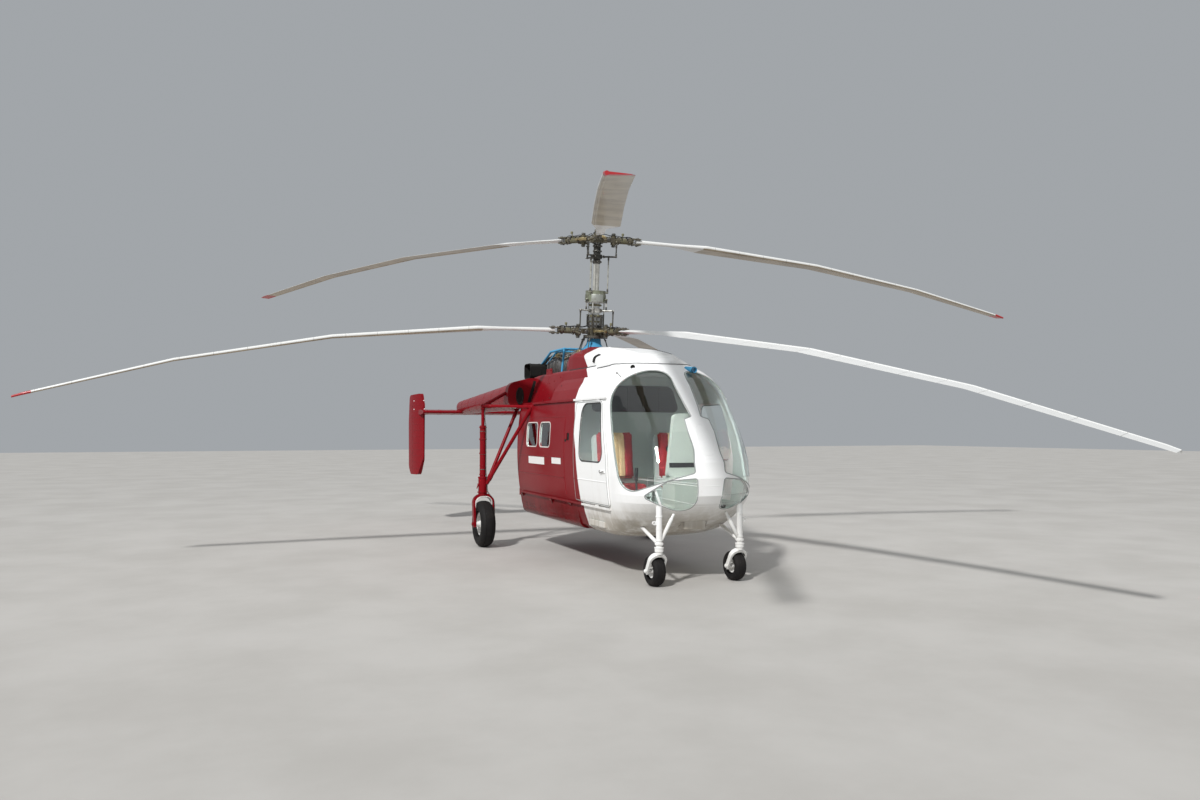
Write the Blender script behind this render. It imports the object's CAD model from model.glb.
import math
import random

import bmesh
import bpy
from mathutils import Matrix, Vector
from mathutils.bvhtree import BVHTree


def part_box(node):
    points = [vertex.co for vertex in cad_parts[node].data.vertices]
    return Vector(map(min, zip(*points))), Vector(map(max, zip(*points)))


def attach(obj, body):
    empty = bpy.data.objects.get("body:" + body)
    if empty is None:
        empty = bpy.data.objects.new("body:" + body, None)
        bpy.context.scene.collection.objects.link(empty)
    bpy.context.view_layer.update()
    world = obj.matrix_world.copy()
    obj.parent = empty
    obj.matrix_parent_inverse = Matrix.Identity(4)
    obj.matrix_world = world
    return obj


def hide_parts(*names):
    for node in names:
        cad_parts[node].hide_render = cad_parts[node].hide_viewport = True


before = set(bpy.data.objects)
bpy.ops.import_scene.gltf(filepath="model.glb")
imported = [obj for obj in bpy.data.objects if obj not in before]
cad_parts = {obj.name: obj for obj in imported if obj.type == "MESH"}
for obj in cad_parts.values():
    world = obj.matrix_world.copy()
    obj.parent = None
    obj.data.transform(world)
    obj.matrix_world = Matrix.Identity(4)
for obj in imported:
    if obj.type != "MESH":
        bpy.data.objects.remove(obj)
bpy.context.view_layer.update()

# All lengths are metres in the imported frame: X to port, Y aft, Z up. A station is a distance
# aft from the nose wheels' axle, as in the part's source.
ORIGIN_STATION = 2.25
HALF_WIDTH = 0.75
SIDE_RADIUS = 3.45
SIDE_WIDEST_HEIGHT = 1.25

WHITE = (0.92, 0.92, 0.91, 1.0)
RED = (0.215, 0.004, 0.009, 1.0)
LIGHT_BLUE = (0.075, 0.33, 0.56, 1.0)
LINING_GREEN = (0.46, 0.53, 0.50, 1.0)
SOOT = (0.022, 0.022, 0.024, 1.0)
DIRT = (0.10, 0.085, 0.07, 1.0)

# The mast: its tilt, the upper hub's middle and the distance down to the lower hub
MAST_TILT = math.radians(5.4)
HUB_CENTRE = (0.0, 2.530 - ORIGIN_STATION, 3.936)
ROTOR_SPACING = 1.170

ACROSS = Vector((1, 0, 0))
AFT = Vector((0, 1, 0))
UP = Vector((0, 0, 1))

rng = random.Random(26)


def at(x, station, z):
    """A point from its X, station and height."""
    return Vector((x, station - ORIGIN_STATION, z))


def side_x(height):
    """Half-width of the body side at a height."""
    rise = height - SIDE_WIDEST_HEIGHT
    return HALF_WIDTH - SIDE_RADIUS + math.sqrt(SIDE_RADIUS**2 - rise**2)


# Camera and light


def new_object(name, data):
    """An object in the scene."""
    thing = bpy.data.objects.new(name, data)
    bpy.context.collection.objects.link(thing)
    return thing


camera = new_object("camera", bpy.data.cameras.new("camera"))
camera.location = (-4.280, -10.031, 1.513)
camera.rotation_euler = (math.radians(91.954), 0.0, math.radians(-22.703))
camera.data.sensor_width = 36.0
camera.data.sensor_fit = "HORIZONTAL"
camera.data.lens = 26.56
bpy.context.scene.camera = camera


def sun(name, turn, strength, angle):
    """A soft distant lamp."""
    data = bpy.data.lights.new(name, "SUN")
    data.energy = strength
    data.angle = math.radians(angle)
    new_object(name, data).rotation_euler = [math.radians(part) for part in turn]


def softbox(name, place, target, size, power):
    """A large rectangular lamp that points at a target."""
    data = bpy.data.lights.new(name, "AREA")
    data.energy = power
    data.shape = "RECTANGLE"
    data.size, data.size_y = size
    lamp = new_object(name, data)
    lamp.location = place
    lamp.rotation_euler = (Vector(target) - Vector(place)).to_track_quat("-Z", "Y").to_euler()


sun("key_light", turn=(50, 0, -50), strength=3.1, angle=4)
softbox("overhead", place=(0, 0, 9.5), target=(0, 0, 0), size=(14, 11), power=220)
bpy.context.scene.view_settings.view_transform = "Standard"

world = bpy.data.worlds.new("studio")
bpy.context.scene.world = world
world.use_nodes = True
background = world.node_tree.nodes["Background"].inputs
background["Color"].default_value = (0.72, 0.76, 0.80, 1.0)
background["Strength"].default_value = 0.50


# Material nodes


def feed(tree, socket, value):
    """Sets a socket to a value, or links it to the socket that feeds it."""
    if isinstance(value, bpy.types.NodeSocket):
        tree.links.new(value, socket)
    else:
        socket.default_value = value


def node(tree, kind, settings=None, **inputs):
    """Adds a node; each input is a value, or the socket that feeds it. i0, i1... are by number."""
    made = tree.nodes.new("ShaderNode" + kind)
    for name, value in (settings or {}).items():
        setattr(made, name, value)
    for name, value in inputs.items():
        numbered = name[0] == "i" and name[1:].isdigit()
        feed(tree, made.inputs[int(name[1:]) if numbered else name], value)
    return made


def math_node(tree, operation, first, second=0.5, third=None):
    """The result of a sum on two or three values or sockets."""
    inputs = {"i0": first, "i1": second}
    if third is not None:
        inputs["i2"] = third
    return node(tree, "Math", {"operation": operation}, **inputs).outputs[0]


def times(tree, first, second):
    """The product of two values or sockets."""
    return math_node(tree, "MULTIPLY", first, second)


def ramp(tree, value, low, high, start=0.0, end=1.0, smooth=True):
    """Maps low..high to start..end, clamped."""
    kind = "SMOOTHSTEP" if smooth else "LINEAR"
    span = {"i0": value, "i1": low, "i2": high, "i3": start, "i4": end}
    return node(tree, "MapRange", {"interpolation_type": kind}, **span).outputs[0]


def mix(tree, share, first, second, blend="MIX"):
    """Mixes two colours."""
    made = node(tree, "Mix", {"data_type": "RGBA", "blend_type": blend}, i0=share, i6=first, i7=second)
    return made.outputs[2]


def noise_value(tree, coords, scale, detail=3.0, rough=0.5, stretch=None):
    """A noise value over the object's own coordinates, stretched if asked."""
    if stretch:
        coords = node(tree, "Mapping", None, Vector=coords, Scale=stretch).outputs[0]
    made = node(tree, "TexNoise", None, Vector=coords, Scale=scale, Detail=detail, Roughness=rough)
    return made.outputs[0]


def effect(name, inputs, outputs):
    """A shader node group with inputs (label: value) and outputs, each a colour or a number."""
    tree = bpy.data.node_groups.new(name, "ShaderNodeTree")
    for label, value in inputs.items():
        kind = "Float" if isinstance(value, float) else {3: "Vector", 4: "Color"}[len(value)]
        socket = tree.interface.new_socket(label, in_out="INPUT", socket_type="NodeSocket" + kind)
        socket.default_value = value
    for label in outputs:
        kind = "Color" if label == "Color" else "Float"
        tree.interface.new_socket(label, in_out="OUTPUT", socket_type="NodeSocket" + kind)
    take = tree.nodes.new("NodeGroupInput").outputs
    give = tree.nodes.new("NodeGroupOutput").inputs
    return tree, take, give


def vector_node(tree, operation, first, second=(0.0, 0.0, 0.0)):
    """The outputs of a sum on vectors."""
    return node(tree, "VectorMath", {"operation": operation}, i0=first, i1=second).outputs


def object_coords(tree):
    """The object's own coordinates."""
    return tree.nodes.new("ShaderNodeTexCoord").outputs["Object"]


def add_bump(tree, shader, height, strength, distance):
    """Feeds a shader's normal from a height."""
    bump = node(tree, "Bump", None, Height=height, Strength=strength, Distance=distance)
    tree.links.new(bump.outputs[0], shader.inputs["Normal"])


def edge_mask(tree, radius):
    """Bright where the surface turns sharply within a radius."""
    bevel = node(tree, "Bevel", {"samples": 4}, Radius=radius).outputs[0]
    flat = tree.nodes.new("ShaderNodeNewGeometry").outputs["Normal"]
    return ramp(tree, vector_node(tree, "DOT_PRODUCT", bevel, flat)["Value"], 0.985, 0.90)


def make_paint_wear():
    """Sun fade, grime, dirt low on the body, chipped edges and the ripple of sheet metal."""
    inputs = {"Paint": WHITE, "Roughness": 0.25, "Fade": 0.1, "Grime": 0.2, "Ripple": 0.3, "Splash": 0.3}
    tree, take, give = effect("paint_wear", inputs, ("Color", "Roughness", "Height"))
    coords = object_coords(tree)
    broad = noise_value(tree, coords, 1.4, 4.0)
    patch = ramp(tree, broad, 0.35, 0.68)
    chalk = mix(tree, 0.05, take["Paint"], (0.70, 0.62, 0.58, 1.0))
    faded = mix(tree, times(tree, patch, take["Fade"]), take["Paint"], chalk)
    runs = noise_value(tree, coords, 1.0, 5.0, 0.6, (9.0, 9.0, 0.9))
    specks = noise_value(tree, coords, 34.0, 2.0)
    grime = times(tree, ramp(tree, runs, 0.52, 0.86), ramp(tree, specks, 0.3, 0.7))
    grime = times(tree, grime, take["Grime"])
    soiled = mix(tree, 1.0, faded, (0.46, 0.41, 0.34, 1.0), "MULTIPLY")
    off_ground = node(tree, "SeparateXYZ", None, Vector=coords).outputs[2]
    splash = times(tree, ramp(tree, off_ground, 0.86, 0.52), ramp(tree, runs, 0.30, 0.62, 0.45, 0.9))
    splash = times(tree, splash, take["Splash"])
    dusted = mix(tree, splash, faded, soiled)
    dirty = mix(tree, grime, dusted, soiled)
    chips = times(tree, edge_mask(tree, 0.006), ramp(tree, specks, 0.52, 0.6))
    chips = times(tree, chips, take["Grime"])
    worn = mix(tree, times(tree, chips, 0.5), dirty, (0.30, 0.28, 0.26, 1.0))
    tree.links.new(worn, give["Color"])
    rough = math_node(tree, "MULTIPLY_ADD", patch, 0.04, take["Roughness"])
    rougher = math_node(tree, "MULTIPLY_ADD", grime, 0.25, rough)
    tree.links.new(rougher, give["Roughness"])
    peel = noise_value(tree, coords, 420.0, 1.0)
    sheet = noise_value(tree, coords, 3.2, 1.0)
    rippled = times(tree, sheet, take["Ripple"])
    tree.links.new(math_node(tree, "MULTIPLY_ADD", peel, 0.02, rippled), give["Height"])
    return tree


def make_metal_wear():
    """Oil film, dull patches, machining marks and bright rubbed edges on bare metal."""
    inputs = {"Metal": SOOT, "Grease": DIRT, "Roughness": 0.4, "Grease Amount": 0.5, "Rub": 0.6}
    tree, take, give = effect("metal_wear", inputs, ("Color", "Roughness", "Height"))
    coords = object_coords(tree)
    patch = ramp(tree, noise_value(tree, coords, 16.0, 4.0, 0.6), 0.42, 0.66)
    film = times(tree, patch, take["Grease Amount"])
    oiled = mix(tree, film, take["Metal"], take["Grease"])
    rub = times(tree, edge_mask(tree, 0.003), take["Rub"])
    tree.links.new(mix(tree, rub, oiled, (0.68, 0.66, 0.60, 1.0)), give["Color"])
    tree.links.new(math_node(tree, "MULTIPLY_ADD", film, 0.28, take["Roughness"]), give["Roughness"])
    tree.links.new(noise_value(tree, coords, 260.0, 3.0), give["Height"])
    return tree


def make_livery_split():
    """1 behind the line where the white of the cab meets the red of the body, else 0."""
    tree, _, give = effect("livery_split", {}, ("Red",))
    parts = node(tree, "SeparateXYZ", None, Vector=object_coords(tree)).outputs
    line = None
    for low, high, step in ((0.5, 1.3, 0.11), (1.3, 1.83, 0.19), (2.06, 2.42, 0.38)):
        rise = ramp(tree, parts[2], low, high, 0.0, step, smooth=False)
        line = rise if line is None else math_node(tree, "ADD", line, rise)
    line = math_node(tree, "ADD", line, 1.20 - ORIGIN_STATION)
    behind = math_node(tree, "SUBTRACT", parts[1], line)
    tree.links.new(ramp(tree, behind, -0.002, 0.002), give["Red"])
    return tree


def make_inner_face():
    """1 on faces that look towards a point inside the shell, else 0."""
    tree, take, give = effect("inner_face", {"Middle": (0.0, 0.0, 0.0)}, ("Inner",))
    source = tree.nodes.new("ShaderNodeTexCoord").outputs
    away = vector_node(tree, "SUBTRACT", source["Object"], take["Middle"])[0]
    away = vector_node(tree, "NORMALIZE", away)[0]
    along = vector_node(tree, "DOT_PRODUCT", away, source["Normal"])["Value"]
    tree.links.new(ramp(tree, along, -0.10, -0.16), give["Inner"])
    return tree


PAINT_WEAR = make_paint_wear()
METAL_WEAR = make_metal_wear()
LIVERY_SPLIT = make_livery_split()
INNER_FACE = make_inner_face()


def use(tree, group, **inputs):
    """Places a node group; an underscore in an input's name stands for a space."""
    made = tree.nodes.new("ShaderNodeGroup")
    made.node_tree = group
    for name, value in inputs.items():
        feed(tree, made.inputs[name.replace("_", " ")], value)
    return made.outputs


def new_material(name, **sockets):
    """A material with a Principled shader; an underscore stands for a space."""
    material = bpy.data.materials.new(name)
    material.use_nodes = True
    shader = material.node_tree.nodes["Principled BSDF"]
    for label, value in sockets.items():
        shader.inputs[label.replace("_", " ")].default_value = value
    return material, material.node_tree, shader


def finish_with(tree, shader, outputs, strength, distance):
    """Feeds a shader from an effect's colour, roughness and height."""
    tree.links.new(outputs["Color"], shader.inputs["Base Color"])
    tree.links.new(outputs["Roughness"], shader.inputs["Roughness"])
    add_bump(tree, shader, outputs["Height"], strength, distance)


def painted(name, colour, roughness=0.24, fade=0.10, grime=0.25, ripple=0.3, coat=0.04):
    """Sprayed paint in one colour."""
    material, tree, shader = new_material(
        name, Specular_IOR_Level=0.08, Coat_Weight=coat, Coat_Roughness=0.08
    )
    wear = {"Roughness": roughness, "Fade": fade, "Grime": grime, "Ripple": ripple}
    finish_with(tree, shader, use(tree, PAINT_WEAR, Paint=colour, **wear), 0.35, 0.012)
    return material


def matt(name, colour, roughness=0.55, grime=0.2, ripple=0.1):
    """Flat paint without a clear coat."""
    return painted(name, colour, roughness, grime=grime, ripple=ripple, coat=0.0)


def livery(name, inner_middle=None, inner_colour=LINING_GREEN, roughness=0.22):
    """White paint ahead of the livery line and red behind it, with a lining colour inside."""
    material, tree, shader = new_material(
        name, Specular_IOR_Level=0.08, Coat_Weight=0.04, Coat_Roughness=0.06
    )
    red = use(tree, LIVERY_SPLIT)["Red"]
    colour = mix(tree, red, WHITE, RED)
    rough = roughness
    if inner_middle:
        inner = use(tree, INNER_FACE, Middle=inner_middle)["Inner"]
        colour = mix(tree, inner, colour, inner_colour)
        rough = ramp(tree, inner, 0.0, 1.0, roughness, 0.5)
    made = use(tree, PAINT_WEAR, Paint=colour, Roughness=rough, Fade=0.3, Grime=0.30, Splash=1.0)
    finish_with(tree, shader, made, 0.35, 0.012)
    return material


def bare_metal(name, colour, roughness, grease, rub=0.6, metallic=1.0):
    """Machined or plated metal under an oil film; a function makes its colour, if it has one."""
    material, tree, shader = new_material(name, Metallic=metallic)
    if callable(colour):
        colour = colour(tree)
    wear = {"Roughness": roughness, "Grease_Amount": grease, "Rub": rub}
    made = use(tree, METAL_WEAR, Metal=colour, Grease=DIRT, **wear)
    finish_with(tree, shader, made, 0.15, 0.002)
    return material


def banded_metal(name, bands, grease=0.6):
    """Metal whose paint changes along the mast: (height above which it holds, colour) pairs."""

    def banded(tree):
        axis = (0.0, -math.sin(MAST_TILT), math.cos(MAST_TILT))
        from_hub = vector_node(tree, "SUBTRACT", object_coords(tree), HUB_CENTRE)[0]
        along = vector_node(tree, "DOT_PRODUCT", from_hub, axis)["Value"]
        colour = bands[0][1]
        for height, below in bands[1:]:
            share = ramp(tree, along, height + 0.001, height - 0.001)
            colour = mix(tree, share, colour, below)
        return colour

    return bare_metal(name, banded, 0.42, grease, metallic=0.55)


def clear_glass(name, tint):
    """Acrylic pane with a few soft smears."""
    material, tree, shader = new_material(name, IOR=1.45, Transmission_Weight=1.0)
    shader.inputs["Base Color"].default_value = tint
    smear = noise_value(tree, object_coords(tree), 5.0, 5.0, 0.6, (1.0, 1.0, 0.4))
    tree.links.new(ramp(tree, smear, 0.5, 0.8, 0.015, 0.07), shader.inputs["Roughness"])
    shadow = tree.nodes.new("ShaderNodeLightPath").outputs["Is Shadow Ray"]
    tree.links.new(ramp(tree, shadow, 0.0, 1.0, 1.0, 0.10, smooth=False), shader.inputs["Alpha"])
    return material


def rubber(name, colour, roughness):
    """Black rubber with a dusty bloom."""
    material, tree, shader = new_material(name, Specular_IOR_Level=0.2)
    coords = object_coords(tree)
    dust = ramp(tree, noise_value(tree, coords, 7.0, 5.0, 0.65), 0.45, 0.75, 0.0, 0.30)
    tree.links.new(mix(tree, dust, colour, (0.045, 0.038, 0.032, 1.0)), shader.inputs["Base Color"])
    tree.links.new(ramp(tree, dust, 0.0, 0.35, roughness, 0.85), shader.inputs["Roughness"])
    add_bump(tree, shader, noise_value(tree, coords, 300.0, 2.0), 0.25, 0.001)
    return material


def blade_paint(name, underside):
    """White above and at the root, bare glass fibre below, and a red tip."""
    material, tree, shader = new_material(name, Coat_Weight=0.2, Coat_Roughness=0.15)
    source = tree.nodes.new("ShaderNodeTexCoord").outputs
    parts = node(tree, "SeparateXYZ", None, Vector=source["Object"]).outputs
    facing = node(tree, "SeparateXYZ", None, Vector=source["Normal"]).outputs[2]
    aft = math_node(tree, "SUBTRACT", parts[1], 0.28)
    flat = node(tree, "CombineXYZ", None, X=parts[0], Y=aft).outputs[0]
    radius = vector_node(tree, "LENGTH", flat)["Value"]
    streak = noise_value(tree, source["Object"], 3.0, 5.0, 0.6)
    fibre = mix(tree, ramp(tree, streak, 0.35, 0.7, 0.0, 0.5), underside, (0.16, 0.12, 0.075, 1.0))
    below = times(tree, ramp(tree, facing, -0.25, -0.45), ramp(tree, radius, 1.44, 1.46))
    colour = mix(tree, below, (0.74, 0.74, 0.72, 1.0), fibre)
    colour = mix(tree, ramp(tree, radius, 6.33, 6.34), colour, (0.42, 0.015, 0.02, 1.0))
    pocket = math_node(tree, "FRACT", math_node(tree, "DIVIDE", radius, 0.36))
    seam = math_node(tree, "COMPARE", pocket, 0.5, 0.008)
    seam = times(tree, seam, ramp(tree, radius, 1.5, 1.52))
    colour = mix(tree, times(tree, seam, 0.45), colour, DIRT)
    made = use(tree, PAINT_WEAR, Paint=colour, Roughness=0.34, Fade=0.12, Grime=0.5, Ripple=0.1)
    finish_with(tree, shader, made, 0.3, 0.006)
    return material


def leather(name, colour, dark):
    """Upholstery leather: pebbled grain, rubbed high spots and darker folds."""
    material, tree, shader = new_material(name, Sheen_Weight=0.03, Specular_IOR_Level=0.25)
    coords = object_coords(tree)
    worn = ramp(tree, noise_value(tree, coords, 9.0, 4.0, 0.6), 0.38, 0.68)
    tree.links.new(mix(tree, worn, dark, colour), shader.inputs["Base Color"])
    cells = node(tree, "TexVoronoi", {"feature": "DISTANCE_TO_EDGE"}, Vector=coords, Scale=380.0)
    pebble = ramp(tree, cells.outputs["Distance"], 0.0, 0.25)
    creases = noise_value(tree, coords, 42.0, 4.0, 0.6)
    height = math_node(tree, "MULTIPLY_ADD", creases, 1.4, pebble)
    tree.links.new(ramp(tree, worn, 0.0, 1.0, 0.58, 0.42), shader.inputs["Roughness"])
    add_bump(tree, shader, height, 0.35, 0.0012)
    return material


OLIVE_PAINT = (0.27, 0.29, 0.21, 1.0)

MATERIALS = {
    "cab": livery("cab_paint", (0.0, 0.75 - ORIGIN_STATION, 1.30)),
    "pod": livery("pod_paint", (0.0, 2.45 - ORIGIN_STATION, 1.15)),
    "body": livery("body_paint"),
    "cab_outside": livery("cab_skin_paint"),
    "fairing": livery("fairing_paint", (0.0, 1.6 - ORIGIN_STATION, 2.2), SOOT),
    "red": painted("red_paint", RED),
    "white": painted("white_paint", WHITE, fade=0.04),
    "blue": painted("blue_paint", LIGHT_BLUE, roughness=0.32, grime=0.6, fade=0.18),
    "lining": matt("lining_paint", LINING_GREEN),
    "panel_black": matt("panel_black", SOOT, grime=0.15, ripple=0.0),
    "soot": painted("burnt_black", (0.02, 0.019, 0.018, 1.0), roughness=0.62, grime=0.5),
    "hub": bare_metal("hub_steel", (0.13, 0.115, 0.075, 1.0), 0.42, 0.75, 0.7, 0.6),
    "upper_shaft": banded_metal(
        "upper_mast", ((1.0, (0.03, 0.03, 0.028, 1.0)), (-0.311, (0.62, 0.61, 0.56, 1.0))), 0.3
    ),
    "upper_controls": banded_metal(
        "upper_rods",
        ((1.0, (0.05, 0.05, 0.045, 1.0)), (-0.275, (0.50, 0.50, 0.45, 1.0)), (-0.63, OLIVE_PAINT)),
    ),
    "lower_controls": banded_metal(
        "lower_rods",
        ((1.0, OLIVE_PAINT), (-0.80, (0.62, 0.62, 0.58, 1.0)), (-0.945, (0.085, 0.08, 0.06, 1.0))),
    ),
    "brass": bare_metal("brass_fitting", (0.52, 0.42, 0.22, 1.0), 0.36, 0.45),
    "dark_steel": bare_metal("dark_steel", (0.09, 0.09, 0.085, 1.0), 0.42, 0.6, 0.8, 0.8),
    "shaft": bare_metal("shaft_steel", (0.60, 0.61, 0.60, 1.0), 0.30, 0.25, 0.2),
    "alloy": bare_metal("cast_alloy", (0.44, 0.46, 0.42, 1.0), 0.45, 0.4, 0.5, 0.7),
    "engine": bare_metal("engine_metal", (0.16, 0.16, 0.16, 1.0), 0.48, 0.6, 0.6, 0.8),
    "glass": clear_glass("clear_pane", (0.96, 0.985, 0.975, 1.0)),
    "tyre": rubber("tyre_rubber", (0.011, 0.010, 0.010, 1.0), 0.7),
    "seal": rubber("seal_rubber", (0.05, 0.052, 0.053, 1.0), 0.5),
    "grey_seal": rubber("grey_seal", (0.30, 0.32, 0.31, 1.0), 0.5),
    "blade": blade_paint("blade_skin", (0.42, 0.35, 0.255, 1.0)),
    "near_blade": blade_paint("blade_skin_pale", (0.47, 0.41, 0.31, 1.0)),
    "window_frame": painted("window_frame_paint", (0.72, 0.64, 0.61, 1.0), roughness=0.4, grime=0.4),
    "panel_back": matt("panel_back_paint", (0.36, 0.40, 0.36, 1.0)),
    "floor_grey": matt("cab_floor_paint", (0.15, 0.145, 0.12, 1.0), roughness=0.65, grime=0.7),
    "belt": matt("belt_webbing", (0.16, 0.15, 0.13, 1.0), roughness=0.8, grime=0.25, ripple=0.0),
    "plate": painted("plate_white", (0.84, 0.82, 0.80, 1.0), roughness=0.4, grime=0.3, ripple=0.0),
    "olive": matt("olive_alloy", (0.20, 0.19, 0.12, 1.0), roughness=0.45, grime=0.8, ripple=0.3),
    "red_leather": leather("red_leather", (0.36, 0.02, 0.028, 1.0), (0.26, 0.012, 0.018, 1.0)),
    "cream_leather": leather("cream_leather", (0.74, 0.55, 0.31, 1.0), (0.62, 0.44, 0.23, 1.0)),
}

NODE_FINISHES = {
    "cab": ("cab_shell",),
    "pod": ("pod_shell",),
    "body": ("upper_deck", "door_rails", "door_left", "door_right"),
    "fairing": ("roof_fairing",),
    "red": ("tailplane", "rear_door_left", "rear_door_right"),
    "blue": ("roof_lamp", "gearbox", "engine_frame"),
    "lining": ("seat_frames",),
    "panel_back": ("console",),
    "floor_grey": ("cab_floor",),
    "panel_black": ("controls",),
    "soot": ("exhaust",),
    "engine": ("engine",),
    "hub": ("upper_hub", "lower_hub"),
    "dark_steel": ("lower_swashplate",),
    "upper_controls": ("upper_controls",),
    "lower_controls": ("lower_controls",),
    "upper_shaft": ("upper_shaft",),
    "shaft": ("lower_shaft",),
    "glass": ("windscreens", "chin_windows", "pod_windows", "door_window_left", "door_window_right"),
    "blade": ("upper_blade_1", "upper_blade_2", "lower_blade_1", "lower_blade_2", "lower_blade_3"),
    "near_blade": ("upper_blade_3",),
}
SIDED_FINISHES = {
    "red": ("boom", "fin", "rudder", "main_gear"),
    "white": ("nose_leg", "nose_fork", "main_rim", "nose_rim"),
    "tyre": ("main_tyre", "nose_tyre"),
}


def dress(name, finish):
    """Gives a CAD node its finished material."""
    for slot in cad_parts[name].material_slots:
        slot.material = MATERIALS[finish]


for finish, names in NODE_FINISHES.items():
    for name in names:
        dress(name, finish)
for finish, names in SIDED_FINISHES.items():
    for name in names:
        dress(name + "_left", finish)
        dress(name + "_right", finish)


# Mesh tools


def cad_surface(*names):
    """A tree for casting rays at the CAD nodes of those names."""
    points, faces = [], []
    for name in names:
        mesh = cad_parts[name].data
        base = len(points)
        points += [vertex.co.copy() for vertex in mesh.vertices]
        faces += [[base + index for index in face.vertices] for face in mesh.polygons]
    return BVHTree.FromPolygons(points, faces)


def land(tree, start, direction, reach=5.0):
    """Where a ray meets a surface, with the normal that faces the ray; None if it misses."""
    direction = Vector(direction).normalized()
    point, normal, _, _ = tree.ray_cast(Vector(start), direction, reach)
    if point is None:
        return None
    if normal.dot(direction) > 0:
        normal = -normal
    return point, normal


def landed(tree, starts, direction, reach=5.0):
    """Where the rays from several starts meet a surface; misses are left out."""
    hits = [land(tree, start, direction, reach) for start in starts]
    return [hit for hit in hits if hit]


def traced(tree, start, end, direction, step=0.03):
    """The line between two points as it lies on a surface, seen along a direction."""
    start, end = Vector(start), Vector(end)
    direction = Vector(direction).normalized()
    pieces = max(1, math.ceil((end - start).length / step))
    starts = [start.lerp(end, number / pieces) - direction for number in range(pieces + 1)]
    return landed(tree, starts, direction, 3.0)


def raised(path, height):
    """The same path, lifted along its normals."""
    return [(point + normal * height, normal) for point, normal in path]


def shifted(path, *step):
    """The same path, moved by a step."""
    return [(point + Vector(step), normal) for point, normal in path]


def between(corners, step):
    """Flat points along the lines between corners, at most a step apart, up to the last."""
    points = []
    for (a0, b0), (a1, b1) in zip(corners, corners[1:]):
        pieces = max(1, math.ceil(math.hypot(a1 - a0, b1 - b0) / step))
        for number in range(pieces):
            share = number / pieces
            points.append((a0 + (a1 - a0) * share, b0 + (b1 - b0) * share))
    return points


def rounded(corners, step=0.03, closed=True):
    """Points along an outline of (across, up, radius) corners, with arcs at the corners."""
    count = len(corners)
    points = []
    for index, (a, b, radius) in enumerate(corners):
        here = Vector((a, b))
        before = Vector(corners[index - 1][:2])
        after = Vector(corners[(index + 1) % count][:2])
        ends = not closed and index in (0, count - 1)
        if radius <= 0 or ends:
            points.append(here)
            continue
        to_before = (before - here).normalized()
        to_after = (after - here).normalized()
        half = to_before.angle(to_after) / 2
        middle = here + (to_before + to_after).normalized() * radius / math.sin(half)
        start = here + to_before * radius / math.tan(half) - middle
        sweep = math.pi - 2 * half
        turn = 1 if start.x * (-to_before.y) - start.y * (-to_before.x) > 0 else -1
        steps = max(2, math.ceil(sweep / 0.16))
        for number in range(steps + 1):
            angle = turn * sweep * number / steps
            cosine, sine = math.cos(angle), math.sin(angle)
            points.append(
                middle
                + Vector((start.x * cosine - start.y * sine, start.x * sine + start.y * cosine))
            )
    spaced = []
    last = len(points) if closed else len(points) - 1
    for index in range(last):
        here, after = points[index], points[(index + 1) % len(points)]
        pieces = max(1, math.ceil((after - here).length / step))
        spaced += [here.lerp(after, number / pieces) for number in range(pieces)]
    if not closed:
        spaced.append(points[-1])
    return spaced


def mesh_object(name, shape):
    """Turns a bmesh into an object."""
    mesh = bpy.data.meshes.new(name)
    shape.to_mesh(mesh)
    shape.free()
    return new_object(name, mesh)


def add_piece(name, shape, finish, body="airframe", bevel=0.0):
    """Turns a bmesh into a piece that rides on a body and takes its finish from a slot."""
    bmesh.ops.recalc_face_normals(shape, faces=shape.faces[:])
    piece = mesh_object(name, shape)
    mesh = piece.data
    mesh.materials.append(MATERIALS[finish])
    mesh.shade_smooth()
    mesh.set_sharp_from_angle(angle=math.radians(38))
    if bevel:
        rounding = piece.modifiers.new("rounding", "BEVEL")
        rounding.width = bevel
        rounding.segments = 2
        rounding.limit_method = "ANGLE"
    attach(piece, body)
    return piece


def skin(shape, rings, closed_path=False):
    """Joins closed rings of points with faces, and caps the ends of an open path."""
    made = [[shape.verts.new(point) for point in ring] for ring in rings]
    count = len(made[0])
    last = len(made) if closed_path else len(made) - 1
    for index in range(last):
        near, far = made[index], made[(index + 1) % len(made)]
        for corner in range(count):
            after = (corner + 1) % count
            shape.faces.new((near[corner], near[after], far[after], far[corner]))
    if not closed_path:
        shape.faces.new(made[0])
        shape.faces.new(made[-1][::-1])


def square_to(axis):
    """Two directions at right angles to an axis and to each other."""
    axis = Vector(axis).normalized()
    other = Vector((0, 0, 1)) if abs(axis.z) < 0.9 else Vector((1, 0, 0))
    first = axis.cross(other).normalized()
    return first, axis.cross(first).normalized()


def spokes(count, first, second, shift=0.0):
    """Ways evenly spread round a circle, in the plane of two directions."""
    angles = [2 * math.pi * (number + shift) / count for number in range(count)]
    return [first * math.cos(angle) + second * math.sin(angle) for angle in angles]


def add_turned(shape, profile, place, axis, sides=24):
    """Adds a form turned about an axis, from (distance along, radius) pairs."""
    axis = Vector(axis).normalized()
    ways = spokes(sides, *square_to(axis))
    rings = []
    for along, radius in profile:
        rings.append([Vector(place) + axis * along + way * max(radius, 1e-5) for way in ways])
    skin(shape, rings)


def add_pin(shape, place, axis, radius, half, sides):
    """Adds a plain cylinder about its middle."""
    add_turned(shape, ((-half, radius), (half, radius)), place, axis, sides)


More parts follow.
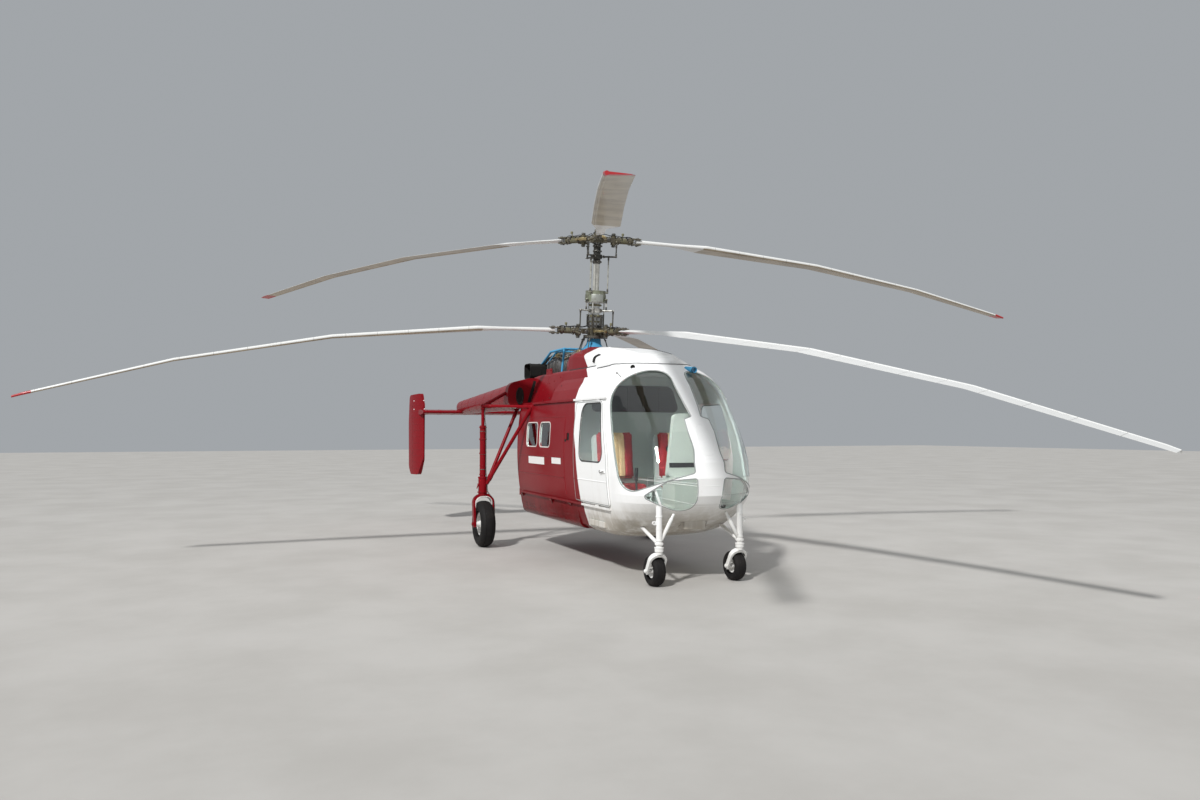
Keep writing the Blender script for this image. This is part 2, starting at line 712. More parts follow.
def add_tube(shape, points, radius, sides=12):
    """Adds a round tube through points, with flat ends."""
    points = [Vector(point) for point in points]
    rings = []
    first = square_to(points[1] - points[0])[0]
    for index, point in enumerate(points):
        before = points[max(index - 1, 0)]
        after = points[min(index + 1, len(points) - 1)]
        along = (after - before).normalized()
        first = (first - along * first.dot(along)).normalized()
        rings.append([point + way * radius for way in spokes(sides, first, along.cross(first))])
    skin(shape, rings)


def smooth_path(points, steps=8):
    """A Catmull-Rom line through points."""
    points = [Vector(point) for point in points]
    ends = [2 * points[0] - points[1], *points, 2 * points[-1] - points[-2]]
    line = []
    for index in range(len(points) - 1):
        a, b, c, d = ends[index : index + 4]
        for number in range(steps):
            t = number / steps
            bend = (2 * a - 5 * b + 4 * c - d) * t**2 + (3 * b - a - 3 * c + d) * t**3
            line.append(0.5 * (2 * b + (c - a) * t + bend))
    line.append(points[-1])
    return line


def add_nut(shape, place, axis, across, height):
    """Adds a hexagonal nut or bolt head with a chamfered top."""
    radius = across / math.sqrt(3)
    profile = ((0.0, radius), (height * 0.75, radius), (height, radius * 0.82))
    add_turned(shape, profile, place, axis, 6)


def add_nuts(shape, path, across, height):
    """Adds a nut at each (point, normal) pair."""
    for point, normal in path:
        add_nut(shape, point, normal, across, height)


def add_rivet(shape, place, normal, radius, height):
    """Adds a low domed head."""
    profile = ((-0.0005, radius), (height * 0.55, radius * 0.78), (height, radius * 0.25))
    add_turned(shape, profile, place, normal, 6)


def rivet_row(shape, path, pitch=0.04, radius=0.0034, height=0.0016):
    """Adds rivets at a pitch along points and normals."""
    ahead = pitch / 2
    for (start, normal), (end, _) in zip(path, path[1:]):
        length = (end - start).length
        if length > 0.2:
            continue
        while ahead < length:
            add_rivet(shape, start.lerp(end, ahead / length), normal, radius, height)
            ahead += pitch
        ahead -= length


def add_box(shape, low, high):
    """Adds a box between two corners."""
    made = bmesh.ops.create_cube(shape, size=1.0)
    middle = (Vector(low) + Vector(high)) / 2
    size = Vector(high) - Vector(low)
    for vertex in made["verts"]:
        vertex.co = Vector(a * b + c for a, b, c in zip(vertex.co, size, middle))
    return made["verts"]


def add_sheet(shape, path, low, high):
    """Adds a thin sheet over a closed path, between two heights above it."""
    skin(shape, [[point + normal * rise for point, normal in path] for rise in (low, high)])


def add_band(shape, path, section, closed=False):
    """Adds a strip of one cross-section along (point, normal) pairs."""
    rings = []
    count = len(path)
    for index, (point, normal) in enumerate(path):
        before = path[index - 1][0] if closed or index else point
        after = path[(index + 1) % count][0] if closed or index < count - 1 else point
        along = (after - before).normalized()
        across = along.cross(normal).normalized()
        up = across.cross(along).normalized()
        if up.dot(normal) < 0:
            up = -up
        rings.append([point + across * a + up * b for a, b in section])
    skin(shape, rings, closed_path=closed)


def half_round(width, height, depth=0.002, steps=6):
    """A cross-section: a low arch of a width and height with its foot sunk in."""
    arch = []
    for number in range(steps + 1):
        angle = math.pi * number / steps
        arch.append((-width / 2 * math.cos(angle), height * math.sin(angle)))
    return [(-width / 2, -depth), *arch, (width / 2, -depth)]


def flat_strip(width, height, depth=0.002):
    """A cross-section: a flat strip with its foot sunk in."""
    half = width / 2
    return [(-half, -depth), (-half, height), (half, height), (half, -depth)]


def for_sides(make):
    """Makes a piece on the port side (1) and its twin on the starboard side (-1)."""
    make(1, "left")
    make(-1, "right")


# Tyres with grooved treads, in the CAD tyres' places

# X, station and height of each wheel's middle
MAIN_WHEEL = (1.21, 3.48, 0.2975)
NOSE_WHEEL = (0.45, 0.0, 0.15)
# Outer radius, bead radius and half-width of each tyre
MAIN_TYRE = (0.2975, 0.1455, 0.0925)
NOSE_TYRE = (0.150, 0.0705, 0.0625)
# Place across, width and depth of the grooves
MAIN_GROOVES = [(across, 0.006, 0.006) for across in (-0.036, -0.012, 0.012, 0.036)]
NOSE_GROOVES = [(across, 0.004, 0.003) for across in (-0.016, 0.016)]
TYRE_STEPS = 72
TYRE_SEGMENTS = 112


def tyre_profile(outer, seat, half, grooves):
    """Half-section points of a balloon tyre, from bead to bead, with grooves round its tread."""
    points = []
    middle = (outer + seat) / 2
    rise = (outer - seat) / 2
    for number in range(TYRE_STEPS + 1):
        angle = math.pi * (-0.16 + 1.32 * number / TYRE_STEPS)
        cosine, sine = math.cos(angle), math.sin(angle)
        across = half * math.copysign(abs(cosine) ** 0.82, cosine)
        radius = middle + rise * math.copysign(abs(sine) ** 0.74, sine)
        for place, width, depth in grooves:
            if abs(across - place) < width / 2 and sine > 0:
                radius -= depth
        if 0.05 < sine < 0.32:
            across *= 1.0 + 0.012 * math.sin((sine - 0.05) / 0.27 * math.pi)
        points.append((min(max(across, -half), half), min(radius, outer)))
    return points


def tyres(side, label):
    """Two tyres that stand for the plain CAD tyres of one side."""
    for kind, wheel, size, grooves in (
        ("main", MAIN_WHEEL, MAIN_TYRE, MAIN_GROOVES),
        ("nose", NOSE_WHEEL, NOSE_TYRE, NOSE_GROOVES),
    ):
        place = at(side * wheel[0], *wheel[1:])
        profile = tyre_profile(*size, grooves)
        rings = []
        for spoke in spokes(TYRE_SEGMENTS, AFT, UP):
            rings.append([place + ACROSS * across + spoke * radius for across, radius in profile])
        shape = bmesh.new()
        skin(shape, rings, closed_path=True)
        name = f"{kind}_tyre_{label}"
        piece = add_piece(name + "_treaded", shape, "tyre", f"{kind}_wheel_{label}")
        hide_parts(name)


for_sides(tyres)


# Seat cushions, blown up from smaller blocks with cloth and then sewn

SEAT_X = 0.37
SEAT_FRONT = 0.70
SEAT_BACK_FOOT = 1.14
SEAT_PAN_HEIGHT = 0.85
SEAT_BACK_LEAN = math.radians(6.0)
CUSHION_WIDTH = 0.46
CUSHION_THICKNESS = 0.09
# How far the block starts inside the pad, and how far the cloth may move it
CUSHION_INSET = 0.011
CUSHION_BLOW = 0.012
CLOTH_FRAMES = 20
BACK_START = 0.105
BACK_END = 0.66


def pillow(name, size):
    """A crowned cushion about the origin: a block that is remeshed and blown up by cloth."""
    shape = bmesh.new()
    bmesh.ops.create_cube(shape, size=1.0)
    for vertex in shape.verts:
        for axis in range(3):
            vertex.co[axis] *= size[axis] - 2 * CUSHION_INSET
    bmesh.ops.bevel(shape, geom=shape.edges[:], offset=0.024, segments=3, affect="EDGES")
    piece = mesh_object(name, shape)
    bpy.context.view_layer.objects.active = piece
    remesh = piece.modifiers.new("remesh", "REMESH")
    remesh.mode = "VOXEL"
    remesh.voxel_size = 0.006
    bpy.ops.object.modifier_apply(modifier=remesh.name)
    before = [vertex.co.copy() for vertex in piece.data.vertices]
    cloth = piece.modifiers.new("cloth", "CLOTH")
    cloth.settings.use_pressure = True
    cloth.settings.uniform_pressure_force = 4.0
    cloth.settings.effector_weights.gravity = 0.0
    scene = bpy.context.scene
    for number in range(1, CLOTH_FRAMES + 1):
        scene.frame_set(number)
    bpy.ops.object.modifier_apply(modifier=cloth.name)
    scene.frame_set(1)
    for vertex, start in zip(piece.data.vertices, before):
        move = vertex.co - start
        if move.length > CUSHION_BLOW:
            vertex.co = start + move.normalized() * CUSHION_BLOW
    return piece


def sew_and_fit(piece, size, channels, split):
    """Presses sewn channels into the crowned face and keeps the pad inside its CAD block."""
    half = [value / 2 for value in size]
    for vertex in piece.data.vertices:
        place = vertex.co
        crown = max(0.0, place.z / half[2])
        depth = 0.0
        for line in channels:
            depth += 0.0085 * math.exp(-(((place.x - line) / 0.007) ** 2))
        depth += 0.016 * math.exp(-(((abs(place.x) - split) / 0.009) ** 2))
        place.z -= depth * crown**0.5
        pull = 0.006 * (1 - (place.x / half[0]) ** 2) * abs(place.y / half[1]) ** 6
        place.y -= math.copysign(pull, place.y)
        for axis in range(3):
            limit = half[axis] - 0.0006
            place[axis] = min(max(place[axis], -limit), limit)
    smoother = piece.modifiers.new("smooth", "SUBSURF")
    smoother.levels = 1
    smoother.render_levels = 1


def place_cushion(piece, name, matrix, split=None):
    """Moves a copy of a pad to a seat, and colours its bolsters apart from its middle."""
    mesh = piece.data.copy()
    copy = new_object(name, mesh)
    for modifier in piece.modifiers:
        other = copy.modifiers.new(modifier.name, modifier.type)
        other.levels = modifier.levels
        other.render_levels = modifier.render_levels
    mesh.materials.clear()
    mesh.materials.append(MATERIALS["red_leather"])
    if split:
        mesh.materials.append(MATERIALS["cream_leather"])
        for face in mesh.polygons:
            if abs(face.center.x) < split and face.center.z > -0.01:
                face.material_index = 1
    mesh.transform(matrix)
    mesh.shade_smooth()
    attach(copy, "airframe")
    return copy


PAN_SIZE = (CUSHION_WIDTH, SEAT_BACK_FOOT - SEAT_FRONT, CUSHION_THICKNESS)
BACK_SIZE = (CUSHION_WIDTH, BACK_END - BACK_START, CUSHION_THICKNESS)
# Places across of the sewn channels, and of the deeper lines that part the bolsters
PAN_CHANNELS = (-0.07, 0.0, 0.07)
PAN_BOLSTER_LINE = 0.15
BACK_CHANNELS = (-0.075, -0.025, 0.025, 0.075)
BACK_BOLSTER_LINE = 0.098
pan_pad = pillow("pan_pad", PAN_SIZE)
sew_and_fit(pan_pad, PAN_SIZE, PAN_CHANNELS, PAN_BOLSTER_LINE)
back_pad = pillow("back_pad", BACK_SIZE)
sew_and_fit(back_pad, BACK_SIZE, BACK_CHANNELS, BACK_BOLSTER_LINE)
cushions = []
for side, label in ((1, "left"), (-1, "right")):
    pan_place = Matrix.Translation(
        at(side * SEAT_X, (SEAT_FRONT + SEAT_BACK_FOOT) / 2, SEAT_PAN_HEIGHT + CUSHION_THICKNESS / 2)
    )
    cushions.append(place_cushion(pan_pad, f"seat_pad_{label}", pan_place))
    foot = Matrix.Translation(at(side * SEAT_X, SEAT_BACK_FOOT, SEAT_PAN_HEIGHT))
    lean = Matrix.Rotation(-SEAT_BACK_LEAN, 4, "X")
    centre = Matrix.Translation((0, -CUSHION_THICKNESS / 2, (BACK_START + BACK_END) / 2))
    stand = Matrix.Rotation(math.radians(90), 4, "X")
    back_place = foot @ lean @ centre @ stand
    cushions.append(
        place_cushion(back_pad, f"back_pad_{label}", back_place, BACK_BOLSTER_LINE)
    )
for pad in (pan_pad, back_pad):
    bpy.data.objects.remove(pad)
for cushion in cushions:
    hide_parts("seat_cushions")


# Window seals

SCREEN_ANGLE = math.radians(49.0)
SCREEN_STATION = 0.41
SCREEN_OUTLINE = (
    (-0.300, 0.870, 0.200),
    (0.432, 1.108, 0.025),
    (0.392, 1.335, 0.300),
    (0.240, 1.622, 0.008),
    (0.285, 1.650, 0.008),
    (-0.075, 2.135, 0.250),
    (-0.320, 2.130, 0.320),
    (-0.575, 1.930, 0.300),
)
CHIN_OUTLINE = (
    (-0.050, 0.868, 0.022),
    (0.205, 1.020, 0.080),
    (0.452, 1.048, 0.020),
    (0.440, 0.745, 0.185),
    (0.215, 0.740, 0.060),
)
DOOR_WINDOW_OUTLINE = (
    (0.535, 1.182, 0.110),
    (1.205, 1.182, 0.090),
    (1.195, 1.800, 0.120),
    (0.675, 1.800, 0.060),
)
POD_WINDOW_STATIONS = ((2.22, 2.60), (2.69, 3.11))
POD_WINDOW_HEIGHTS = (1.31, 1.61)
POD_WINDOW_CORNER = 0.06

cab_skin = cad_surface("cab_shell", "windscreens", "chin_windows")
nose_skin = cad_surface("cab_shell")
roof_skin = cad_surface("cab_shell", "upper_deck")
deck_skin = cad_surface("upper_deck")
fairing_skin = cad_surface("roof_fairing")
rail_skin = cad_surface("door_rails")


def screen_path(outline, side, grow=0.006):
    """The window outline's points on the cab's skin, moved out by a distance, with normals."""
    facing = Vector((-math.sin(SCREEN_ANGLE), -math.cos(SCREEN_ANGLE), 0.0))
    across = Vector((math.cos(SCREEN_ANGLE), -math.sin(SCREEN_ANGLE), 0.0))
    middle = Vector((sum(c[0] for c in outline), sum(c[1] for c in outline))) / len(outline)
    starts = []
    for flat in rounded(outline):
        out = (flat - middle).normalized() * grow
        base = at(0, SCREEN_STATION, 0) + across * (flat.x + out.x) + Vector((0, 0, flat.y + out.y))
        starts.append(base + facing * 1.6)
    mirror = Vector((-side, 1, 1))
    return [(point * mirror, normal * mirror) for point, normal in landed(cab_skin, starts, -facing)]


def side_normal(side, height):
    """The direction out of the body's side at a height."""
    lean = (height - SIDE_WIDEST_HEIGHT) / SIDE_RADIUS
    return Vector((side * math.cos(lean), 0, math.sin(lean)))


def side_path(outline, side, stand_off=0.0, closed=True):
    """A side outline's points on the body's side arc, moved out by a stand-off."""
    return [
        (at(side * (side_x(flat.y) + stand_off), flat.x, flat.y), side_normal(side, flat.y))
        for flat in rounded(outline, closed=closed)
    ]


def box_outline(front, rear, low, high, corner):
    """A rounded rectangle's corners."""
    return ((front, low, corner), (rear, low, corner), (rear, high, corner), (front, high, corner))


def cab_seals(side, label):
    """Seals round the windscreen, the chin window and the door's window."""
    for part, outline, width in (("screen", SCREEN_OUTLINE, 0.011), ("chin", CHIN_OUTLINE, 0.010)):
        shape = bmesh.new()
        add_band(shape, screen_path(outline, side), half_round(width, 0.003, 0.003), closed=True)
        add_piece(f"{part}_seal_{label}", shape, "grey_seal")
    shape = bmesh.new()
    path = side_path(DOOR_WINDOW_OUTLINE, side, 0.021)
    add_band(shape, path, half_round(0.016, 0.003, 0.004), closed=True)
    add_piece(f"door_window_seal_{label}", shape, "seal", f"door_{label}")


def pod_window_frames(side, label):
    """Raised frames round the pod's side windows."""
    shape = bmesh.new()
    for front, rear in POD_WINDOW_STATIONS:
        outline = box_outline(front, rear, *POD_WINDOW_HEIGHTS, POD_WINDOW_CORNER)
        add_band(shape, side_path(outline, side), flat_strip(0.013, 0.003, 0.004), closed=True)
    add_piece(f"pod_window_frames_{label}", shape, "window_frame")


for_sides(cab_seals)
for_sides(pod_window_frames)


# Rivets, seams and plates

POD_FRONT = 1.42
POD_REAR = 3.50
PANEL_FRONT = 1.735
PANEL_TOP = 1.672
PANEL_FOOT = 0.785
SEAM_HEIGHTS = (1.20, 0.975)
SMALL_RIVET = (0.0028, 0.0012)


def side_spot(side, station, height, out=0.0):
    """A point on the body's side and its normal."""
    normal = side_normal(side, height)
    return at(side * side_x(height), station, height) + normal * out, normal


def side_line(side, corners, out=0.0, step=0.04):
    """Points and normals along (station, height) corners on the body's side."""
    return [side_spot(side, *spot, out) for spot in (*between(corners, step), corners[-1])]


def side_row(shape, side, start, end, pitch=0.045, out=0.0, head=(0.0034, 0.0016)):
    """Adds rivets along one line on the body's side."""
    rivet_row(shape, side_line(side, (start, end), out), pitch, *head)


def add_side_plate(shape, side, outline, out, thickness):
    """Adds a thin plate with rounded corners on the body's side."""
    path = [side_spot(side, flat.x, flat.y, out) for flat in rounded(outline, step=0.05)]
    add_sheet(shape, path, -0.001, thickness)


def pod_sheets(side, label):
    """Raised seams, the outline of the large side panel and the rivets of the pod."""
    ends = (POD_FRONT + 0.012, POD_REAR - 0.012)
    shape = bmesh.new()
    outline = (
        (PANEL_FRONT, PANEL_FOOT, 0.0),
        (PANEL_FRONT, PANEL_TOP, 0.05),
        (POD_REAR - 0.10, PANEL_TOP, 0.0),
    )
    add_band(shape, side_path(outline, side, closed=False), half_round(0.016, 0.0032))
    seams = []
    for height in SEAM_HEIGHTS:
        seams.append(side_line(side, ((PANEL_FRONT + 0.01, height), (POD_REAR - 0.03, height))))
        add_band(shape, seams[-1], half_round(0.018, 0.0034))
    for station in ends:
        add_band(shape, side_line(side, ((station, 0.53), (station, 1.80))), flat_strip(0.022, 0.0012))
    lap = side_line(side, ((POD_FRONT + 0.03, 0.555), (POD_REAR - 0.03, 0.555)))
    add_band(shape, lap, flat_strip(0.03, 0.0012))
    add_piece(f"pod_seams_{label}", shape, "body")
    shape = bmesh.new()
    for seam in seams:
        for rise in (-0.018, 0.018):
            rivet_row(shape, shifted(seam, 0, 0, rise), 0.045)
    inner = (
        (PANEL_FRONT + 0.02, PANEL_FOOT, 0.0),
        (PANEL_FRONT + 0.02, PANEL_TOP - 0.02, 0.035),
        (POD_REAR - 0.10, PANEL_TOP - 0.02, 0.0),
    )
    rivet_row(shape, side_path(inner, side, closed=False), 0.05)
    for station in ends:
        side_row(shape, side, (station, 0.54), (station, 1.79), 0.04, 0.0012)
    side_row(shape, side, (POD_FRONT + 0.03, 1.785), (POD_REAR - 0.03, 1.785))
    rivet_row(shape, raised(lap, 0.0012), 0.04)
    for station in (1.90, 2.70):
        side_row(shape, side, (station, 0.535), (station, 0.71), 0.04)
    low, high = POD_WINDOW_HEIGHTS
    for front, rear in POD_WINDOW_STATIONS:
        ring = box_outline(front - 0.028, rear + 0.028, low - 0.028, high + 0.028, 0.07)
        rivet_row(shape, side_path(ring, side), 0.05, 0.003, 0.0014)
    add_piece(f"pod_rivets_{label}", shape, "body")


def pod_plates(side, label):
    """Two blank plates, the vent in the pod's small recess and brackets under the lower rail."""
    shape = bmesh.new()
    for plate in ((2.42, 3.02, 1.095, 1.185), (1.84, 2.15, 1.120, 1.205)):
        add_side_plate(shape, side, box_outline(*plate, 0.006), 0.0, 0.0012)
    add_piece(f"blank_plates_{label}", shape, "plate")
    shape = bmesh.new()
    add_side_plate(shape, side, box_outline(1.582, 1.658, 1.402, 1.478, 0.006), -0.010, 0.002)
    for number in range(5):
        height = 1.412 + 0.014 * number
        slat = box_outline(1.588, 1.652, height, height + 0.007, 0.001)
        add_side_plate(shape, side, slat, -0.008, 0.004)
    add_side_plate(shape, side, box_outline(1.662, 1.712, 1.385, 1.412, 0.004), 0.0, 0.003)
    add_piece(f"pod_vent_{label}", shape, "soot")
    shape = bmesh.new()
    for station, drop in ((2.25, 0.06), (1.60, 0.035), (3.38, 0.05)):
        top, normal = side_spot(side, station, 0.700)
        reach = normal * 0.030
        low = top - UP * drop
        corners = (top - AFT * 0.045, top + AFT * 0.045, low)
        foot = [corner - normal * 0.004 for corner in corners]
        skin(shape, [foot, [corners[0] + reach, corners[1] + reach, low]])
        add_nut(shape, top + reach * 0.6 - UP * 0.003, -UP, 0.012, 0.006)
    add_piece(f"rail_brackets_{label}", shape, "body")


def door_trim(side, label):
    """The door's raised seam, edge seal, lock and rivets."""
    body = f"door_{label}"
    shape = bmesh.new()
    add_band(shape, side_line(side, ((0.470, 0.985), (1.372, 0.985)), 0.0208), half_round(0.014, 0.0035))
    add_band(shape, side_line(side, ((0.478, 0.775), (1.372, 0.775)), 0.0208), flat_strip(0.014, 0.0012))
    add_piece(f"door_seam_{label}", shape, "body", body)
    edge = (
        (0.461, 0.749, 0.025),
        (1.376, 0.749, 0.025),
        (1.376, 1.817, 0.025),
        (0.646, 1.817, 0.092),
        (0.461, 1.251, 0.392),
    )
    shape = bmesh.new()
    add_band(shape, side_path(edge, side, 0.0206), half_round(0.009, 0.0022), closed=True)
    add_piece(f"door_edge_{label}", shape, "grey_seal", body)
    inner = (
        (0.480, 0.768, 0.02),
        (1.358, 0.768, 0.02),
        (1.358, 1.799, 0.02),
        (0.660, 1.799, 0.08),
        (0.480, 1.255, 0.38),
    )
    shape = bmesh.new()
    rivet_row(shape, side_path(inner, side, 0.021), 0.045, *SMALL_RIVET)
    for rise in (-0.014, 0.014):
        side_row(shape, side, (0.49, 0.985 + rise), (1.35, 0.985 + rise), 0.045, 0.021, SMALL_RIVET)
    add_piece(f"door_rivets_{label}", shape, "body", body)
    shape = bmesh.new()
    lock = side_spot(side, 0.628, 1.090, 0.0205)
    add_turned(shape, ((0, 0.014), (0.004, 0.013), (0.005, 0.008), (0.003, 0.0)), *lock, 20)
    lever = [side_spot(side, *spot, 0.036)[0] for spot in ((0.49, 1.097), (0.54, 1.09), (0.59, 1.076))]
    add_tube(shape, smooth_path(lever, 4), 0.0045, 8)
    add_piece(f"door_lock_{label}", shape, "dark_steel", body)


def rail_screws(side, label):
    """Screws along both door rails."""
    shape = bmesh.new()
    for height, station, rear in ((1.851, 0.64, 2.92), (0.711, 0.52, 3.36)):
        while station < rear:
            hits = landed(rail_skin, [at(side * 1.4, station, height)], (-side, 0, 0))
            add_nuts(shape, hits, 0.009, 0.003)
            station += 0.12
    add_piece(f"rail_screws_{label}", shape, "body")


for_sides(pod_sheets)
for_sides(pod_plates)
for_sides(door_trim)
for_sides(rail_screws)


# Nose, windscreen post and cab roof


def post_panel():
    """The raised outline and the arc on the windscreen's middle post, and its rivets."""
    shape = bmesh.new()
    rows = bmesh.new()
    slot = ((-0.085, 1.27, 0.06), (0.085, 1.27, 0.06), (0.055, 1.57, 0.055), (-0.055, 1.57, 0.055))
    arc = ((-0.075, 1.20, 0.0), (-0.055, 1.238, 0.04), (0.055, 1.238, 0.04), (0.075, 1.20, 0.0))
    for outline, closed in ((slot, True), (arc, False)):
        starts = [at(flat.x, -0.9, flat.y) for flat in rounded(outline, closed=closed)]
        add_band(shape, landed(nose_skin, starts, AFT), half_round(0.007, 0.0022), closed=closed)
    for height in (0.975, 0.775):
        line = traced(nose_skin, at(-0.155, 0, height), at(0.155, 0, height), AFT)
        add_band(shape, line, half_round(0.007, 0.0018))
        rivet_row(rows, shifted(line, 0, 0, -0.016), 0.032)
    for across in (-0.150, 0.150):
        line = traced(nose_skin, at(across, 0, 0.80), at(across, 0, 1.06), AFT)
        add_band(shape, line, half_round(0.006, 0.0015))
    for across in (-0.130, 0.130):
        rivet_row(rows, traced(nose_skin, at(across, 0, 0.66), at(across, 0, 1.10), AFT), 0.035)
    add_piece("post_outline", shape, "white")
    add_piece("post_rivets", rows, "white")


def belly_rivets():
    """Rivet rows and lap strips across the nose's underside."""
    rows = bmesh.new()
    laps = bmesh.new()
    for station in (-0.12, 0.02, 0.30, 0.52, 0.78, 1.04, 1.30):
        line = traced(nose_skin, at(-0.62, station, 0), at(0.62, station, 0), UP)
        add_band(laps, line, flat_strip(0.024, 0.0010))
        rivet_row(rows, raised(line, 0.001), 0.036)
    for across in (-0.48, -0.24, 0.24, 0.48):
        rivet_row(rows, traced(nose_skin, at(across, 0.02, 0), at(across, 1.38, 0), UP), 0.045)
    add_piece("belly_laps", laps, "cab_outside")
    add_piece("belly_rivets", rows, "cab_outside")


def cab_rivets(side, label):
    """Rivets round the windscreen, the doorway and the lower corner of the cab."""
    shape = bmesh.new()
    for outline in (SCREEN_OUTLINE, CHIN_OUTLINE):
        rivet_row(shape, raised(screen_path(outline, side, 0.026), 0.0002), 0.038, *SMALL_RIVET)
    side_row(shape, side, (1.402, 0.60), (1.402, 1.82), 0.04, 0.0, (0.003, 0.0013))
    for height, front in ((0.675, 0.30), (0.640, 0.30), (1.93, 0.75), (2.06, 0.75)):
        line = traced(nose_skin, at(side, front, height), at(side, 1.40, height), (-side, 0, 0))
        rivet_row(shape, line, 0.042, 0.003, 0.0013)
    add_piece(f"cab_rivets_{label}", shape, "cab_outside")


SCOOP = ((-0.075, 0.004), (-0.04, 0.020), (0.0, 0.026), (0.004, 0.023), (-0.02, 0.017), (-0.05, 0.004))
SCOOP_MOUTH = (
    (0.0028, 0.0245),
    (0.007, 0.0255),
    (0.009, 0.0225),
    (0.002, 0.018),
    (-0.012, 0.010),
    (-0.012, 0.0),
)


def roof_fittings():
    """An intake scoop on the roof's starboard edge and a whip aerial beside it."""
    point, normal = land(nose_skin, at(-0.385, 0.64, 2.6), -UP)
    forward = Vector((-0.25, -0.93, 0.0))
    forward = (forward - normal * forward.dot(normal)).normalized()
    start = point + normal * 0.012
    shape = bmesh.new()
    add_turned(shape, SCOOP, start, forward)
    add_piece("roof_scoop", shape, "white")
    shape = bmesh.new()
    add_turned(shape, SCOOP_MOUTH, start, forward)
    add_piece("roof_scoop_mouth", shape, "soot")
    shape = bmesh.new()
    base, normal = land(nose_skin, at(-1.2, 0.70, 2.11), ACROSS)
    tip, tip_normal = land(nose_skin, at(-1.2, 0.575, 2.05), ACROSS)
    add_turned(shape, ((0, 0.010), (0.004, 0.010), (0.010, 0.004)), base, normal, 16)
    whip = [base, base + normal * 0.018, tip + tip_normal * 0.022]
    add_tube(shape, smooth_path(whip, 5), 0.0028, 8)
    add_piece("roof_aerial", shape, "dark_steel")


def roof_lamp_glass():
    """The lens and the rim at the lamp's mouth."""
    mouth = at(0.235, 0.425, 2.147)
    axis = (at(0.205, 0.560, 2.160) - mouth).normalized()
    shape = bmesh.new()
    ways = spokes(36, *square_to(axis))
    ring = [(mouth + axis * 0.007 + way * 0.0325, way) for way in ways]
    add_band(shape, ring, flat_strip(0.012, 0.0025, 0.0015), closed=True)
    add_piece("lamp_rim", shape, "panel_black")
    shape = bmesh.new()
    lens = ((0.014, 0.0), (0.015, 0.018), (0.020, 0.0285), (0.023, 0.0285), (0.023, 0.0))
    add_turned(shape, lens, mouth, axis, 32)
    add_piece("lamp_lens", shape, "glass")


post_panel()
belly_rivets()
for_sides(cab_rivets)
roof_fittings()
roof_lamp_glass()


# Fairing: base seam, lid, and a slanting cooling slot on each side

# Station and half-width of the fairing's foot
FAIRING_PLAN = (
    (2.33, 0.466),
    (2.20, 0.474),
    (1.70, 0.479),
    (1.30, 0.474),
    (1.04, 0.469),
    (0.88, 0.429),
    (0.78, 0.355),
    (0.70, 0.256),
    (0.65, 0.147),
    (0.622, 0.055),
)
FAIRING_LID = ((-0.225, 0.86, 0.05), (0.225, 0.86, 0.05), (0.225, 1.66, 0.05), (-0.225, 1.66, 0.05))
# Where the cab's roof ends and the deck begins, under the fairing's seal
ROOF_JOIN = 1.42 - ORIGIN_STATION


def lid_ring(outline):
    """An outline's points on the fairing's top."""
    starts = [at(flat.x, flat.y, 3.0) for flat in rounded(outline, step=0.04)]
    return landed(fairing_skin, starts, -UP)


def fairing_details():
    """The seal along the foot, the lid's edge, rivets and the two slots."""
    shape = bmesh.new()
    plan = [(half, station) for station, half in FAIRING_PLAN]
    plan += [(-half, station) for half, station in reversed(plan)]
    path = []
    for point, normal in landed(roof_skin, [at(*spot, 3.0) for spot in between(plan, 0.05)], -UP):
        path.append((point, UP if normal.z > 0.3 else normal))
    runs = (
        [spot for spot in path if spot[0].x > 0 and spot[0].y > ROOF_JOIN],
        [spot for spot in path if spot[0].y < ROOF_JOIN - 0.004],
        [spot for spot in path if spot[0].x < 0 and spot[0].y > ROOF_JOIN],
    )
    for run in runs:
        add_band(shape, run, flat_strip(0.012, 0.006, 0.004))
    add_piece("fairing_seal", shape, "seal")
    shape = bmesh.new()
    add_band(shape, lid_ring(FAIRING_LID), flat_strip(0.020, 0.004, 0.003), closed=True)
    add_piece("fairing_lid_edge", shape, "fairing")
    rows = bmesh.new()
    wider = [(x * 1.09, s + (0.02 if s > 1 else -0.02), corner) for x, s, corner in FAIRING_LID]
    rivet_row(rows, lid_ring(wider), 0.06, 0.004, 0.002)
    lines = (
        ((0.90, 2.235), (2.30, 2.235)),
        ((1.84, 2.24), (1.84, 2.36)),
        ((2.30, 2.24), (2.30, 2.38)),
    )
    for side in (1, -1):
        for start, end in lines:
            line = traced(fairing_skin, at(side, *start), at(side, *end), (-side, 0, 0))
            rivet_row(rows, line, 0.05, 0.0035, 0.0016)
    add_piece("fairing_rivets", rows, "fairing")
    shape = bmesh.new()
    for side in (1, -1):
        foot, top = at(side, 1.525, 2.285), at(side, 1.495, 2.372)
        line = traced(fairing_skin, foot, top, (-side, 0, 0), 0.012)
        facing = (line[0][1] + line[-1][1]).normalized()
        add_band(shape, [(point, facing) for point, _ in line], flat_strip(0.060, 0.008, 0.014))
    add_piece("fairing_slots", shape, "soot")


fairing_details()


# Upper deck: edge strips, rivets and the tab on its top edge

DECK_ROWS = ((1.90, 1.45, 3.40), (2.205, 1.90, 3.30), (2.06, 2.42, 3.42))
DECK_BOLTS = (
    (2.50, 2.17),
    (2.62, 2.02),
    (2.80, 1.97),
    (2.88, 2.11),
    (3.05, 2.03),
    (3.20, 1.95),
    (2.70, 2.13),
)
# Station, height and radius of the drain holes
DECK_DRAINS = ((2.18, 2.045, 0.011), (3.30, 2.02, 0.012), (2.72, 1.92, 0.009), (2.95, 1.90, 0.009))


